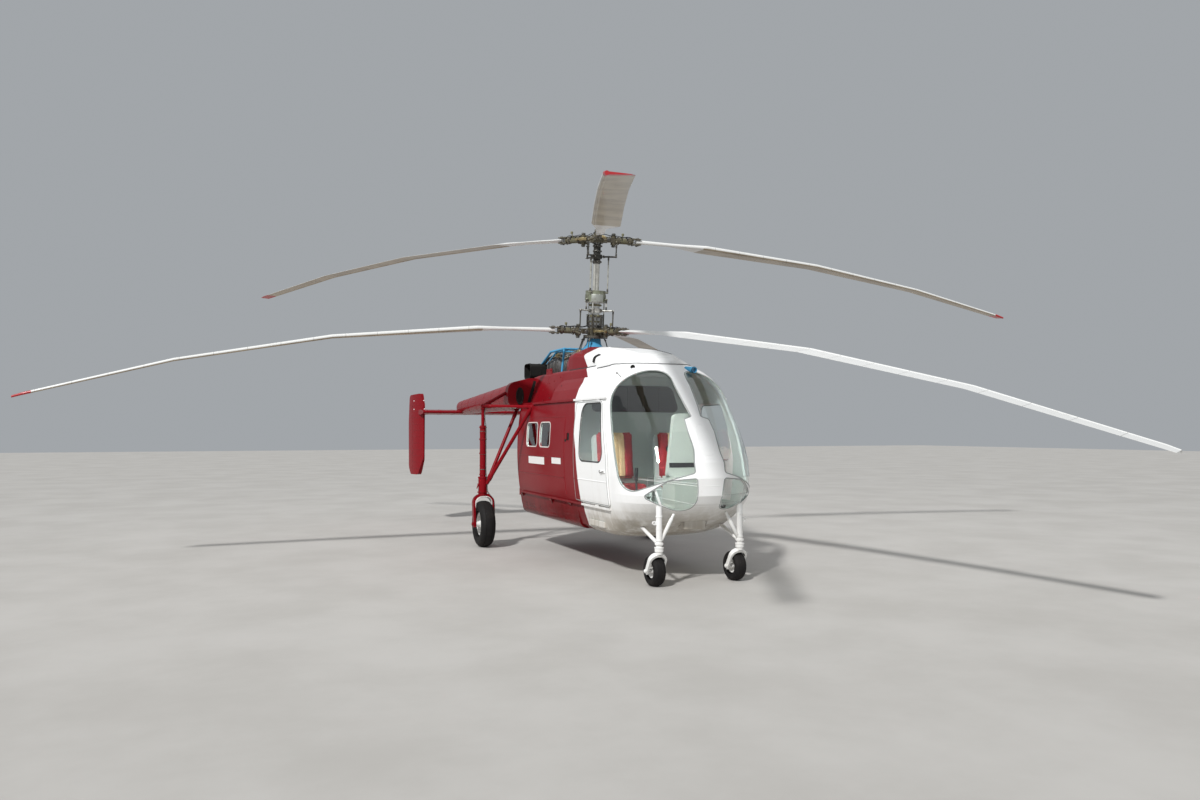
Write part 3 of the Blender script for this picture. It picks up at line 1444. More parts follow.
def deck_details(side, label):
    """Rivets, lap strips, bolts and drains on the deck's side, and the tab on its edge."""
    inward = (-side, 0, 0)
    rows = bmesh.new()
    laps = bmesh.new()
    for height, front, rear in DECK_ROWS:
        line = traced(deck_skin, at(side, front, height), at(side, rear, height), inward)
        rivet_row(rows, line, 0.045, 0.0036, 0.0018)
    for station in (1.44, 2.42, 2.95, 3.38):
        line = traced(deck_skin, at(side, station, 1.88), at(side, station, 2.20), inward)
        rivet_row(rows, line, 0.04, 0.0036, 0.0018)
        if station > 1.5:
            add_band(laps, line, flat_strip(0.028, 0.0014))
    add_nuts(rows, landed(deck_skin, [at(side, *spot) for spot in DECK_BOLTS], inward), 0.014, 0.006)
    add_piece(f"deck_laps_{label}", laps, "body")
    add_piece(f"deck_rivets_{label}", rows, "body")
    holes = bmesh.new()
    for station, height, radius in DECK_DRAINS:
        hole = ((-0.001, radius), (0.0012, radius), (0.0014, radius * 0.6), (0.0006, 0.0))
        add_turned(holes, hole, *land(deck_skin, at(side, station, height), inward), 16)
    add_piece(f"deck_drains_{label}", holes, "soot")
    shape = bmesh.new()
    foot = land(deck_skin, at(side * 0.478, 3.0, 3.0), -UP)[0]
    low = (side * 0.478 - 0.006, foot.y - 0.11, foot.z - 0.03)
    high = (side * 0.478 + 0.006, foot.y + 0.11, foot.z + 0.070)
    for vertex in add_box(shape, low, high):
        if vertex.co.z > foot.z:
            vertex.co.y = foot.y + (vertex.co.y - foot.y) * 0.86
    for shift in (-0.06, 0.06):
        spot = (foot.x + side * 0.006, foot.y + shift, foot.z + 0.045)
        add_nut(shape, spot, (side, 0, 0), 0.014, 0.006)
    add_piece(f"deck_tab_{label}", shape, "red", bevel=0.002)


for_sides(deck_details)


# Rotor heads: nuts, dampers, pipes and fittings on each arm, and the controls between

MAST_PLACE = Matrix.Translation(HUB_CENTRE) @ Matrix.Rotation(MAST_TILT, 4, "X")
# Name, height from the upper hub, way of turning, blade azimuths and the hub's circle of nuts
HEADS = (
    ("upper", 0.0, -1, (-3.5, 125.1, 248.4), 0.060),
    ("lower", -ROTOR_SPACING, 1, (-69.35, 173.05, 51.85), 0.071),
)
HORN_LEAD = 27.0
HORN_RADIUS = 0.245
ROD_CIRCLE = 0.150
FLAP_PIN_AT = 0.120
DRAG_PIN_AT = 0.215
# Place along the arm, way and bolt circle of the sleeve rings' faces
SLEEVE_RING_FACES = ((0.286, 1, 0.0435), (0.420, -1, 0.0420))
CLAMP_BOLT_AT = 0.540
CLAMP_REAR_BOLT_AT = 0.478
# Along, across and up of the arm's grease cups
GREASE_CUPS = ((0.165, 0.0, 0.030), (0.345, 0.0, 0.039), (0.450, 0.012, 0.036))
GREASE_CUP = ((0, 0.007), (0.008, 0.007), (0.010, 0.004), (0.018, 0.004), (0.020, 0.0055), (0.024, 0.002))
DROOP_WEIGHT = ((-0.016, 0.006), (-0.014, 0.015), (0.012, 0.017), (0.018, 0.010), (0.020, 0.0))


def round_the_mast(shape, angles, height, make):
    """Makes a form at each azimuth round the mast; the form itself points along +X."""
    for angle in angles:
        before = len(shape.verts)
        make(shape)
        shape.verts.ensure_lookup_table()
        turn = Matrix.Rotation(math.radians(angle), 4, "Z")
        place = MAST_PLACE @ Matrix.Translation((0, 0, height)) @ turn
        bmesh.ops.transform(shape, matrix=place, verts=shape.verts[before:])


def mast_nuts(shape, circle, height, count, way, across):
    """Adds a circle of nuts square to the mast, at a height from the upper hub."""

    def place_nuts(nuts):
        for spoke in spokes(count, ACROSS, AFT):
            add_nut(nuts, spoke * circle + UP * height, (0, 0, way), across, 0.010)

    round_the_mast(shape, (0,), 0.0, place_nuts)


def arm_nuts(shape):
    """Washers and nuts on an arm's pins, sleeve rings and blade clamp."""
    for side in (1, -1):
        flap, drag = (0, side, 0), (0, 0, side)
        add_turned(shape, ((0, 0.025), (0.003, 0.025)), (FLAP_PIN_AT, side * 0.073, 0), flap, 20)
        add_nut(shape, (FLAP_PIN_AT, side * 0.0755, 0), flap, 0.034, 0.013)
        add_turned(shape, ((0, 0.030), (0.004, 0.030)), (DRAG_PIN_AT, 0, side * 0.072), drag, 20)
        add_nut(shape, (DRAG_PIN_AT, 0, side * 0.0755), drag, 0.040, 0.014)
        for across in (-0.024, 0.024):
            add_nut(shape, (CLAMP_BOLT_AT, across, side * 0.0400), drag, 0.030, 0.010)
            add_nut(shape, (CLAMP_REAR_BOLT_AT, across, side * 0.0400), drag, 0.020, 0.010)
    for along, way, circle in SLEEVE_RING_FACES:
        for spoke in spokes(10, AFT, UP, 0.5):
            add_nut(shape, ACROSS * along + spoke * circle, (way, 0, 0), 0.010, 0.006)


def arm_fittings(shape, turn):
    """Threads on the sleeve, grease cups, a droop stop and a counterweight on one arm."""
    thread = ((0, 0.0355), (0.001, 0.0395), (0.008, 0.0395), (0.009, 0.0355))
    for number in range(6):
        add_turned(shape, thread, (0.302 + number * 0.017, 0, 0), ACROSS, 20)
    for spot in GREASE_CUPS:
        add_turned(shape, GREASE_CUP, spot, UP, 10)
    stop = [(0.352, -turn * 0.030, 0.022), (0.352, -turn * 0.052, 0.050), (0.360, -turn * 0.056, 0.086)]
    add_tube(shape, smooth_path(stop, 4), 0.0065, 10)
    add_turned(shape, DROOP_WEIGHT, (0.360, -turn * 0.056, 0.088), UP, 16)


def arm_damper(shape, turn):
    """A drag damper between the flapping pin and the sleeve's ring."""
    start = Vector((FLAP_PIN_AT, -turn * 0.100, 0.0))
    end = Vector((0.277, -turn * 0.066, 0.0))
    add_pin(shape, start, AFT, 0.019, 0.012, 18)
    add_pin(shape, end, AFT, 0.016, 0.016, 18)
    length = (end - start).length
    barrel = (
        (0.012, 0.010),
        (0.016, 0.019),
        (0.022, 0.021),
        (length * 0.62, 0.021),
        (length * 0.64, 0.018),
        (length * 0.68, 0.018),
        (length * 0.69, 0.0085),
        (length - 0.008, 0.0085),
    )
    add_turned(shape, barrel, start, end - start, 20)


def arm_pipes(shape, turn):
    """Two rigid oil pipes along the top of an arm, with clips."""
    for shift, rise in ((0.020, 0.0), (-0.014, 0.006)):
        route = (
            (0.050, turn * shift, 0.044),
            (0.085, turn * shift, 0.066 + rise),
            (0.150, turn * (shift + 0.022), 0.052 + rise),
            (0.205, turn * (shift + 0.034), 0.052 + rise),
            (0.262, turn * shift, 0.056 + rise),
            (0.350, turn * shift, 0.046 + rise),
            (0.425, turn * shift, 0.053 + rise),
            (0.466, turn * shift, 0.041),
        )
        add_tube(shape, smooth_path(route, 5), 0.0042, 8)
    for along in (0.318, 0.392):
        clip = ((-0.005, 0.0), (-0.005, 0.0405), (0.005, 0.0405), (0.005, 0.0))
        add_turned(shape, clip, (along, 0, 0.010), ACROSS, 16)


def lock_nuts(shape, start, end):
    """Dark end sleeves and lock nuts near both ends of a control rod."""
    start, end = Vector(start), Vector(end)
    along = (end - start).normalized()
    for spot, way in ((start, along), (end, -along)):
        add_turned(shape, ((0.010, 0.0115), (0.034, 0.0115), (0.040, 0.0088)), spot, way, 12)
        add_nut(shape, spot + way * 0.040, way, 0.021, 0.008)


def eye_bolt(shape, spot):
    """A bolt with a nut at each end through a rod's eye."""
    add_pin(shape, spot, AFT, 0.006, 0.022, 10)
    for way in (AFT, -AFT):
        add_nut(shape, Vector(spot) + way * 0.0165, way, 0.017, 0.007)


for label, hub_height, turn, azimuths, nut_circle in HEADS:
    body = f"{label}_rotor"
    nuts = bmesh.new()
    round_the_mast(nuts, azimuths, hub_height, arm_nuts)
    for face in (1, -1):
        mast_nuts(nuts, nut_circle, hub_height + face * 0.0455, 12, face, 0.015)
    add_piece(f"{label}_hub_nuts", nuts, "dark_steel", body)
    for part, make, finish, slot in (
        ("arm_fittings", arm_fittings, "olive", "hub_steel"),
        ("drag_dampers", arm_damper, "brass", "hub_steel"),
        ("arm_pipes", arm_pipes, "panel_black", "black_plastic"),
    ):
        shape = bmesh.new()
        round_the_mast(shape, azimuths, hub_height, lambda arm: make(arm, turn))
        add_piece(f"{label}_{part}", shape, finish, body)

# Heights along the mast from the upper hub: rocker collar, horn eyes and ring arms of each rotor
CONTROL_HEIGHTS = ((-0.220, -0.0685, -0.674), (-0.905, -1.1735, -0.765))


def control_fittings(head, heights):
    """Lock nuts and eye bolts on the rods of one rotor's controls."""
    label, _, turn, azimuths, _ = head
    collar_height, horn, ring = heights

    def one_run(arm):
        lock_nuts(arm, (HORN_RADIUS, 0, collar_height), (HORN_RADIUS, 0, horn))
        lock_nuts(arm, (ROD_CIRCLE, 0, collar_height), (ROD_CIRCLE, 0, ring))
        for radius, height in ((HORN_RADIUS, collar_height), (HORN_RADIUS, horn), (ROD_CIRCLE, ring)):
            eye_bolt(arm, (radius, 0, height))
        add_pin(arm, (0.088, 0, collar_height), AFT, 0.017, 0.024, 14)
        add_nut(arm, (0.088, 0.022, collar_height), AFT, 0.018, 0.007)

    shape = bmesh.new()
    round_the_mast(shape, [azimuth + turn * HORN_LEAD for azimuth in azimuths], 0.0, one_run)
    add_piece(f"{label}_rod_ends", shape, "dark_steel", f"{label}_rotor")


for head, heights in zip(HEADS, CONTROL_HEIGHTS):
    control_fittings(head, heights)

# Radius and height of the curved shield's section
SHIELD_SECTION = (
    (0.1275, -0.702),
    (0.1330, -0.703),
    (0.1350, -0.712),
    (0.1345, -0.755),
    (0.1315, -0.797),
    (0.1270, -0.800),
)


def sector_shields(shape):
    """One curved shield on the side of the mid ring, with its screws."""
    steps = 14
    angles = [math.radians(-34 + 68 * number / steps) for number in range(steps + 1)]
    ways = [Vector((math.cos(angle), math.sin(angle), 0)) for angle in angles]
    skin(shape, [[way * radius + UP * height for radius, height in SHIELD_SECTION] for way in ways])
    for number in (1, 5, 9, 13):
        for radius, height in ((0.1343, -0.716), (0.1325, -0.788)):
            add_nut(shape, ways[number] * radius + UP * height, ways[number], 0.009, 0.003)


shields = bmesh.new()
round_the_mast(shields, [azimuth + HORN_LEAD + 60 for azimuth in HEADS[1][3]], 0.0, sector_shields)
add_piece("mid_ring_shields", shields, "alloy", "lower_rotor")


def collar(shape, place, axis, bore, radius, thick, sides=32, edge=0.0025):
    """Adds a ring with eased edges round a tube."""
    half = thick / 2
    edge = min(edge, thick / 4)
    profile = (
        (-half, bore),
        (-half, radius - edge),
        (-half + edge, radius),
        (half - edge, radius),
        (half, radius - edge),
        (half, bore),
    )
    add_turned(shape, profile, place, axis, sides)


def mast_stack(name, body, finish, rings, bolts):
    """Clamp rings on a shaft, each with lugs and bolts round it."""
    shape = bmesh.new()

    def clamps(stack):
        for height, bore, radius, thick in rings:
            collar(stack, (0, 0, height), UP, bore, radius, thick, 40, 0.003)

    def lugs(arm):
        for height, bore, radius, thick in rings:
            add_pin(arm, (radius, 0, height), AFT, 0.012, 0.010, 12)
            for way in (1, -1):
                add_nut(arm, (radius + 0.001, way * 0.010, height), (0, way, 0), 0.013, 0.006)

    round_the_mast(shape, (0,), 0.0, clamps)
    round_the_mast(shape, [360 * number / bolts for number in range(bolts)], 0.0, lugs)
    add_piece(name, shape, finish, body)


# Height, bore, radius and thickness of the clamp rings
UPPER_RINGS = ((-0.085, 0.045, 0.056, 0.022), (-0.150, 0.045, 0.052, 0.018), (-0.285, 0.045, 0.054, 0.030))
LOWER_RINGS = (
    (-0.835, 0.0595, 0.074, 0.024),
    (-0.975, 0.0595, 0.080, 0.030),
    (-1.045, 0.0595, 0.074, 0.020),
)
FOOT_RINGS = ((-1.100, 0.0595, 0.086, 0.026),)
mast_stack("upper_mast_rings", "upper_rotor", "dark_steel", UPPER_RINGS, 3)
mast_stack("lower_mast_rings", "lower_rotor", "olive", LOWER_RINGS, 4)
mast_stack("lower_mast_foot_rings", "lower_rotor", "dark_steel", FOOT_RINGS, 6)


def mast_pipes(shape):
    """Upright pipes and spring boxes beside the lower mast, above the lower hub."""
    route = ((0.078, 0.0, -0.955), (0.094, 0.010, -0.985), (0.096, 0.014, -1.050), (0.088, 0.010, -1.112))
    add_tube(shape, smooth_path(route, 5), 0.0065, 8)
    middle = Vector((0.096, -0.030, -0.965))
    coil = []
    for number in range(73):
        angle = 2 * math.pi * number / 9
        coil.append(middle + Vector((0.013 * math.cos(angle), 0.013 * math.sin(angle), -0.0018 * number)))
    add_tube(shape, coil, 0.0026, 6)
    add_turned(shape, ((0, 0.006), (-0.150, 0.006)), (0.096, -0.030, -0.955), UP, 10)
    for height in (-0.958, -1.100):
        add_turned(shape, ((0, 0.016), (-0.008, 0.016)), (0.096, -0.030, height), UP, 14)


stack = bmesh.new()
round_the_mast(stack, (15, 75, 135, 195, 255, 315), 0.0, mast_pipes)
add_piece("lower_mast_springs", stack, "dark_steel", "lower_rotor")


# Gearbox: flange nuts, servo jacks and rods round the domed neck

JACK_ANGLES = (60, 150, 185, 225, 330)
JACK_BARREL = (
    (0.0, 0.014),
    (0.004, 0.024),
    (0.070, 0.024),
    (0.074, 0.028),
    (0.086, 0.028),
    (0.090, 0.016),
    (0.096, 0.012),
)


def servo_jack(shape):
    """A jack on the gearbox's flange with its pin and side valve."""
    add_turned(shape, JACK_BARREL, (0.213, 0, -1.499), (-0.28, 0, 1), 18)
    add_pin(shape, (0.213, 0, -1.490), AFT, 0.017, 0.02, 14)
    valve = ((0, 0.012), (0.05, 0.012), (0.053, 0.006))
    add_turned(shape, valve, (0.222, 0.026, -1.490), (-0.2, 0, 1), 12)


def servo_rod(shape):
    """The rod from a jack up to the lower swashplate."""
    add_tube(shape, ((0.190, 0, -1.412), (0.150, 0, -1.285)), 0.007, 10)
    add_pin(shape, (0.148, 0, -1.280), AFT, 0.013, 0.012, 12)
    add_tube(shape, ((0.148, 0, -1.280), (0.128, 0, -1.250)), 0.009, 10)


nuts = bmesh.new()
mast_nuts(nuts, 0.078, -1.257, 12, 1, 0.012)
mast_nuts(nuts, 0.214, -1.498, 20, 1, 0.016)
add_piece("gearbox_nuts", nuts, "dark_steel")
for name, make, finish in (("servo_jacks", servo_jack, "brass"), ("servo_rods", servo_rod, "dark_steel")):
    shape = bmesh.new()
    round_the_mast(shape, JACK_ANGLES, 0.0, make)
    add_piece(name, shape, finish, "airframe")


# Landing gear: collars, sleeves, axle nuts, brake pipes and wheel nuts

LEG_X = 1.21
LEG_STATION = 3.54
# Height, tube radius, collar radius and thickness of each collar on a main leg
LEG_COLLARS = (
    (0.668, 0.055, 0.063, 0.016),
    (0.704, 0.055, 0.066, 0.014),
    (0.895, 0.055, 0.062, 0.018),
    (0.935, 0.038, 0.047, 0.014),
    (1.050, 0.038, 0.044, 0.010),
    (1.395, 0.038, 0.045, 0.022),
    (1.480, 0.038, 0.044, 0.010),
    (1.795, 0.021, 0.031, 0.020),
)
BRACE_TOP = (LEG_X, LEG_STATION, 1.830)
BRACE_FOOT = (LEG_X - 0.045, LEG_STATION - 0.040, 0.815)
BRACE_FRONT = (side_x(1.810), 3.030, 1.810)
BRACE_REAR = (side_x(1.800) + 0.008, 3.625, 1.800)
BRACE_UPPER = (0.600, 3.600, 2.170)
BRACES = (
    (BRACE_TOP, BRACE_FRONT),
    (BRACE_TOP, BRACE_UPPER),
    (BRACE_FOOT, BRACE_FRONT),
    (BRACE_FOOT, BRACE_REAR),
)
BRACE_BORE = 0.022
SLEEVE_RADIUS = 0.0275
# Inboard of the leg, aft of the leg and height of the brake pipe's bends
BRAKE_PIPE = (
    (0.146, -0.060, 0.330),
    (0.149, -0.045, 0.470),
    (0.140, -0.040, 0.600),
    (0.085, -0.050, 0.668),
    (0.050, -0.052, 0.730),
    (0.050, -0.048, 0.860),
    (0.036, -0.036, 0.960),
    (0.034, -0.034, 1.300),
    (0.034, -0.034, 1.540),
    (0.022, -0.026, 1.640),
    (0.022, -0.024, 1.770),
    (0.060, -0.068, 1.806),
    (0.200, -0.218, 1.802),
    (0.340, -0.372, 1.797),
)


def sided(side, start, end):
    """The two ends of a bar on one side, from (X, station, height)."""
    return at(side * start[0], *start[1:]), at(side * end[0], *end[1:])


def ring_of_nuts(shape, centre, ways, circle, across, height):
    """Adds nuts that point out from a centre."""
    for way in ways:
        add_nut(shape, centre + way * circle, way, across, height)


def brace_sleeves(shape, start, end):
    """Sleeves near both ends of a brace, with a cross bolt in each eye."""
    along = (end - start).normalized()
    across = square_to(along)[0]
    sleeve = ((0.048, BRACE_BORE), (0.054, SLEEVE_RADIUS), (0.118, SLEEVE_RADIUS), (0.132, BRACE_BORE))
    for spot, way in ((start, along), (end, -along)):
        add_turned(shape, sleeve, spot, way, 20)
        ways = (across, -across)
        ring_of_nuts(shape, spot + way * 0.085, ways, SLEEVE_RADIUS - 0.001, 0.013, 0.006)


def main_gear_fittings(side, label):
    """Collars, sleeves, nuts and a lever on a main leg, the fork's lining and the brake pipe."""
    leg_x = side * LEG_X
    shape = bmesh.new()
    for height, bore, radius, thick in LEG_COLLARS:
        collar(shape, at(leg_x, LEG_STATION, height), UP, bore, radius, thick)
    for height, circle, count in ((0.704, 0.0655, 8), (1.395, 0.0445, 6)):
        ways = spokes(count, ACROSS, AFT)
        ring_of_nuts(shape, at(leg_x, LEG_STATION, height), ways, circle, 0.013, 0.006)
    for start, end in BRACES:
        brace_sleeves(shape, *sided(side, start, end))
    lever = at(side * (LEG_X + 0.055), LEG_STATION - 0.01, 0.800)
    add_turned(shape, ((-0.004, 0.018), (0.014, 0.018), (0.016, 0.012)), lever, (side, 0, 0), 18)
    grip = (lever + Vector((side * 0.008, 0, 0)), lever + Vector((side * 0.030, -0.02, -0.045)))
    add_tube(shape, grip, 0.007, 10)
    for turn in (1, -1):
        end = at(leg_x + turn * 0.150, *MAIN_WHEEL[1:])
        out = Vector((turn, 0, 0))
        collar(shape, end - out * 0.010, out, 0.019, 0.030, 0.005)
        add_nut(shape, end - out * 0.004, out, 0.042, 0.012)
    add_piece(f"main_leg_fittings_{label}", shape, "red")
    gear_skin = cad_surface(f"main_gear_{label}")
    lining = []
    for number in range(-2, 27):
        angle = math.pi * number / 24
        way = Vector((math.cos(angle), -0.10 * math.sin(angle), math.sin(angle)))
        lining += landed(gear_skin, [at(leg_x, 3.51, 0.535)], way, 0.3)
    shape = bmesh.new()
    add_band(shape, lining, flat_strip(0.070, 0.006))
    add_piece(f"fork_lining_{label}", shape, "plate")
    points = [at(leg_x - side * x, LEG_STATION + y, z) for x, y, z in BRAKE_PIPE]
    pipe = bmesh.new()
    add_tube(pipe, smooth_path(points, 6), 0.0055, 8)
    for height in (1.00, 1.20, 1.50):
        collar(pipe, at(leg_x, LEG_STATION, height), UP, 0.038, 0.0425, 0.010)
    add_piece(f"brake_pipe_{label}", pipe, "dark_steel")


def wheel_nuts(side, label):
    """Nuts on both faces of each wheel's web, and the valve on the outer face."""
    for wheel, place, circle, across in (
        ("main", MAIN_WHEEL, 0.050, 0.017),
        ("nose", NOSE_WHEEL, 0.029, 0.010),
    ):
        rim_skin = cad_surface(f"{wheel}_rim_{label}")
        shape = bmesh.new()
        centre = at(side * place[0], *place[1:])
        for face in (1, -1):
            off = centre + ACROSS * face * 0.3
            starts = [off + spoke * circle for spoke in spokes(8, AFT, UP, 0.5)]
            hits = landed(rim_skin, starts, (-face, 0, 0), 0.6)
            add_nuts(shape, [hit for hit in hits if abs(hit[1].x) > 0.8], across, across * 0.6)
        valve = Vector((side * 0.3, math.cos(2.4) * circle * 2.0, math.sin(2.4) * circle * 2.0))
        for hit in landed(rim_skin, [centre + valve], (-side, 0, 0), 0.6):
            add_turned(shape, ((0, 0.005), (0.022, 0.004), (0.024, 0.002)), *hit, 8)
        add_piece(f"{wheel}_wheel_nuts_{label}", shape, "dark_steel", f"{wheel}_wheel_{label}")


NOSE_LEG = (0.45, -0.100)
NOSE_COLLARS = (
    (0.382, 0.041, 0.047, 0.014),
    (0.420, 0.028, 0.041, 0.024),
    (0.452, 0.028, 0.036, 0.012),
    (0.560, 0.028, 0.0335, 0.008),
    (0.680, 0.028, 0.035, 0.014),
)
NOSE_STAYS = (((*NOSE_LEG, 0.410), (0.45, 0.345, 0.560)), ((*NOSE_LEG, 0.410), (0.29, NOSE_LEG[1], 0.700)))
STAY_RADIUS = 0.0185


def nose_gear_fittings(side, label):
    """Collars, stay sleeves and nuts on a nose leg, and the fork's nuts."""
    leg = (side * NOSE_LEG[0], NOSE_LEG[1])
    shape = bmesh.new()
    for height, bore, radius, thick in NOSE_COLLARS:
        collar(shape, at(*leg, height), UP, bore, radius, thick)
    ring_of_nuts(shape, at(*leg, 0.420), spokes(6, ACROSS, AFT), 0.0405, 0.011, 0.005)
    for stay in NOSE_STAYS:
        start, end = sided(side, *stay)
        along = (end - start).normalized()
        length = (end - start).length
        barrel = (
            (0.045, 0.012),
            (0.055, STAY_RADIUS),
            (length - 0.055, STAY_RADIUS),
            (length - 0.045, 0.012),
        )
        add_turned(shape, barrel, start, along, 20)
        across = square_to(along)[0]
        for spot in (start + along * 0.080, end - along * 0.080):
            ring_of_nuts(shape, spot, (across, -across), 0.0178, 0.010, 0.005)
    add_piece(f"nose_leg_fittings_{label}", shape, "white")
    fork = bmesh.new()
    fork_skin = cad_surface(f"nose_fork_{label}")
    for turn in (1, -1):
        start = at(leg[0] + turn * 0.4, *NOSE_WHEEL[1:])
        for point, normal in landed(fork_skin, [start], (-turn, 0, 0), 0.6):
            add_turned(fork, ((-0.001, 0.020), (0.004, 0.020), (0.005, 0.017)), point, normal, 20)
            add_nut(fork, point + normal * 0.004, normal, 0.022, 0.008)
    collar(fork, at(*leg, 0.333), UP, 0.017, 0.026, 0.010)
    add_piece(f"nose_fork_fittings_{label}", fork, "white", f"nose_fork_{label}")


for_sides(main_gear_fittings)
for_sides(wheel_nuts)
for_sides(nose_gear_fittings)


# Engine and exhaust: cooling ribs, flange bolts, pipes and rims

ENGINE_START = at(0, 2.96, 2.38)
# Distance aft and radius of the flanges on the engine's body
ENGINE_FLANGES = ((0.482, 0.218), (0.620, 0.214), (0.745, 0.214), (0.866, 0.218))
# Distance aft, circle, number and way of the engine's bolts
ENGINE_BOLTS = ((0.0, 0.082, 12, -1), (0.474, 0.212, 28, -1), (0.874, 0.212, 28, 1))
# Angle from port, radius, and (distance aft, distance out) of the bends of each pipe
ENGINE_PIPES = (
    (
        70,
        0.0065,
        ((0.06, 0.108), (0.12, 0.150), (0.20, 0.208), (0.45, 0.222), (0.62, 0.232), (0.84, 0.230)),
    ),
    (100, 0.0090, ((0.08, 0.112), (0.16, 0.205), (0.30, 0.212), (0.50, 0.234), (0.70, 0.236))),
    (128, 0.0055, ((0.10, 0.118), (0.18, 0.208), (0.36, 0.204), (0.55, 0.230), (0.86, 0.232))),
    (48, 0.0055, ((0.10, 0.118), (0.19, 0.208), (0.40, 0.206), (0.60, 0.228), (0.86, 0.232))),
    (150, 0.0075, ((0.14, 0.200), (0.30, 0.208), (0.50, 0.230), (0.80, 0.230))),
    (30, 0.0075, ((0.14, 0.200), (0.30, 0.208), (0.50, 0.230), (0.80, 0.230))),
)
ENGINE_CAN = ((0.0, 0.030), (0.035, 0.030), (0.040, 0.022), (0.052, 0.022), (0.055, 0.010))


def engine_spot(degrees, distance, reach):
    """A point beside the engine's axis and the way out to it."""
    angle = math.radians(degrees)
    spoke = Vector((math.cos(angle), 0, math.sin(angle)))
    return ENGINE_START + AFT * distance + spoke * reach, spoke


def hoop(tree, centre, ways, reach):
    """The ring where a surface is met from all round, towards a centre."""
    hits = [land(tree, centre + way * reach, -way, reach) for way in ways]
    return [hit for hit in hits if hit]


def engine_details():
    """Ribs, bolts, pipes and cans on the engine, and rims on the exhaust."""
    ribs = bmesh.new()
    for number in range(9):
        distance = 0.160 + number * 0.030
        radius = 0.190 - 0.020 * (distance - 0.13) / 0.29
        collar(ribs, ENGINE_START + AFT * distance, AFT, radius - 0.006, radius + 0.008, 0.008, 40)
    for distance, radius in ENGINE_FLANGES:
        collar(ribs, ENGINE_START + AFT * distance, AFT, 0.206, radius, 0.016, 48)
    add_piece("engine_ribs", ribs, "engine")
    nuts = bmesh.new()
    for distance, circle, count, way in ENGINE_BOLTS:
        for spoke in spokes(count, ACROSS, UP):
            spot = ENGINE_START + AFT * distance + spoke * circle
            add_nut(nuts, spot, AFT * way, 0.013, 0.007)
    add_piece("engine_nuts", nuts, "dark_steel")
    pipes = bmesh.new()
    for angle, radius, stops in ENGINE_PIPES:
        points = []
        for index, stop in enumerate(stops):
            points.append(engine_spot(angle + 7 * math.sin(1.9 * index), *stop)[0])
        add_tube(pipes, smooth_path(points, 6), radius, 8)
    for angle in (80, 140):
        add_turned(pipes, ENGINE_CAN, *engine_spot(angle, 0.56, 0.205), 20)
    add_piece("engine_pipes", pipes, "brass")
    rims = bmesh.new()
    exhaust_skin = cad_surface("exhaust")
    for side in (1, -1):
        for inset in (0.012, 0.150):
            centre = at(side * (0.44 - inset), 4.04, 2.335)
            ring = hoop(exhaust_skin, centre, spokes(48, AFT, UP), 0.5)
            if len(ring) > 40:
                add_band(rims, ring, flat_strip(0.016, 0.0045, 0.003), closed=True)
    for distance in (0.965, 1.195):
        collar(rims, ENGINE_START + AFT * distance, AFT, 0.186, 0.1945, 0.014, 48)
    add_piece("exhaust_rims", rims, "soot")


engine_details()


# Tail: ribs, rivets, boom seams and lamps

# X, station and height of the port boom's ends
BOOM_START = (0.750, 3.560, 1.965)
BOOM_END = (0.700, 6.780, 1.890)
BOOM_LAPS = (3.66, 3.98, 4.42, 4.90, 5.40, 5.92, 6.42)


def riveted_rib(shape, tree, start, end, direction, beside):
    """Adds a raised rib along a surface, where the surface is, with rivets beside it."""
    line = traced(tree, start, end, direction, 0.02)
    if len(line) > 2:
        add_band(shape, line[1:-1], half_round(0.011, 0.0028))
        rivet_row(shape, shifted(line[1:-1], *beside), 0.03, 0.0025, 0.001)


def fin_ribs(side, label):
    """Ribs on both faces of a fin and its rudder, and lamps on the fin's front."""
    for part, body, front in (("fin", "airframe", 0.02), ("rudder", f"rudder_{label}", 0.09)):
        tree = cad_surface(f"{part}_{label}")
        low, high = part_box(f"{part}_{label}")
        middle = (low[0] + high[0]) / 2
        shape = bmesh.new()
        height = 0.885
        while height < 2.06:
            start = Vector((middle, low[1] + front, height))
            end = Vector((middle, high[1] - 0.02, height))
            for way in (1, -1):
                riveted_rib(shape, tree, start, end, (way, 0, 0), (0, 0, 0.012))
            height += 0.105
        add_piece(f"{part}_ribs_{label}", shape, "red", body)
    lamps = bmesh.new()
    low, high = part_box(f"fin_{label}")
    starts = [(x, low[1] - 0.5, z) for x in (low[0] + 0.012, high[0] - 0.012) for z in (2.00, 1.86)]
    for hit in landed(cad_surface(f"fin_{label}"), starts, AFT, 2.0):
        add_turned(lamps, ((-0.004, 0.011), (0.004, 0.010), (0.009, 0.004)), *hit, 14)
    add_piece(f"fin_lamps_{label}", lamps, "plate")


def tailplane_ribs():
    """Ribs above and below the tailplane."""
    tree = cad_surface("tailplane")
    low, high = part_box("tailplane")
    shape = bmesh.new()
    count = 13
    for number in range(count):
        x = low[0] + 0.08 + (high[0] - low[0] - 0.16) * number / (count - 1)
        start = Vector((x, low[1] + 0.01, low[2]))
        end = Vector((x, high[1] - 0.01, low[2]))
        for way in (1, -1):
            riveted_rib(shape, tree, start, end, (0, 0, way), (0.012, 0, 0))
    add_piece("tailplane_ribs", shape, "red")


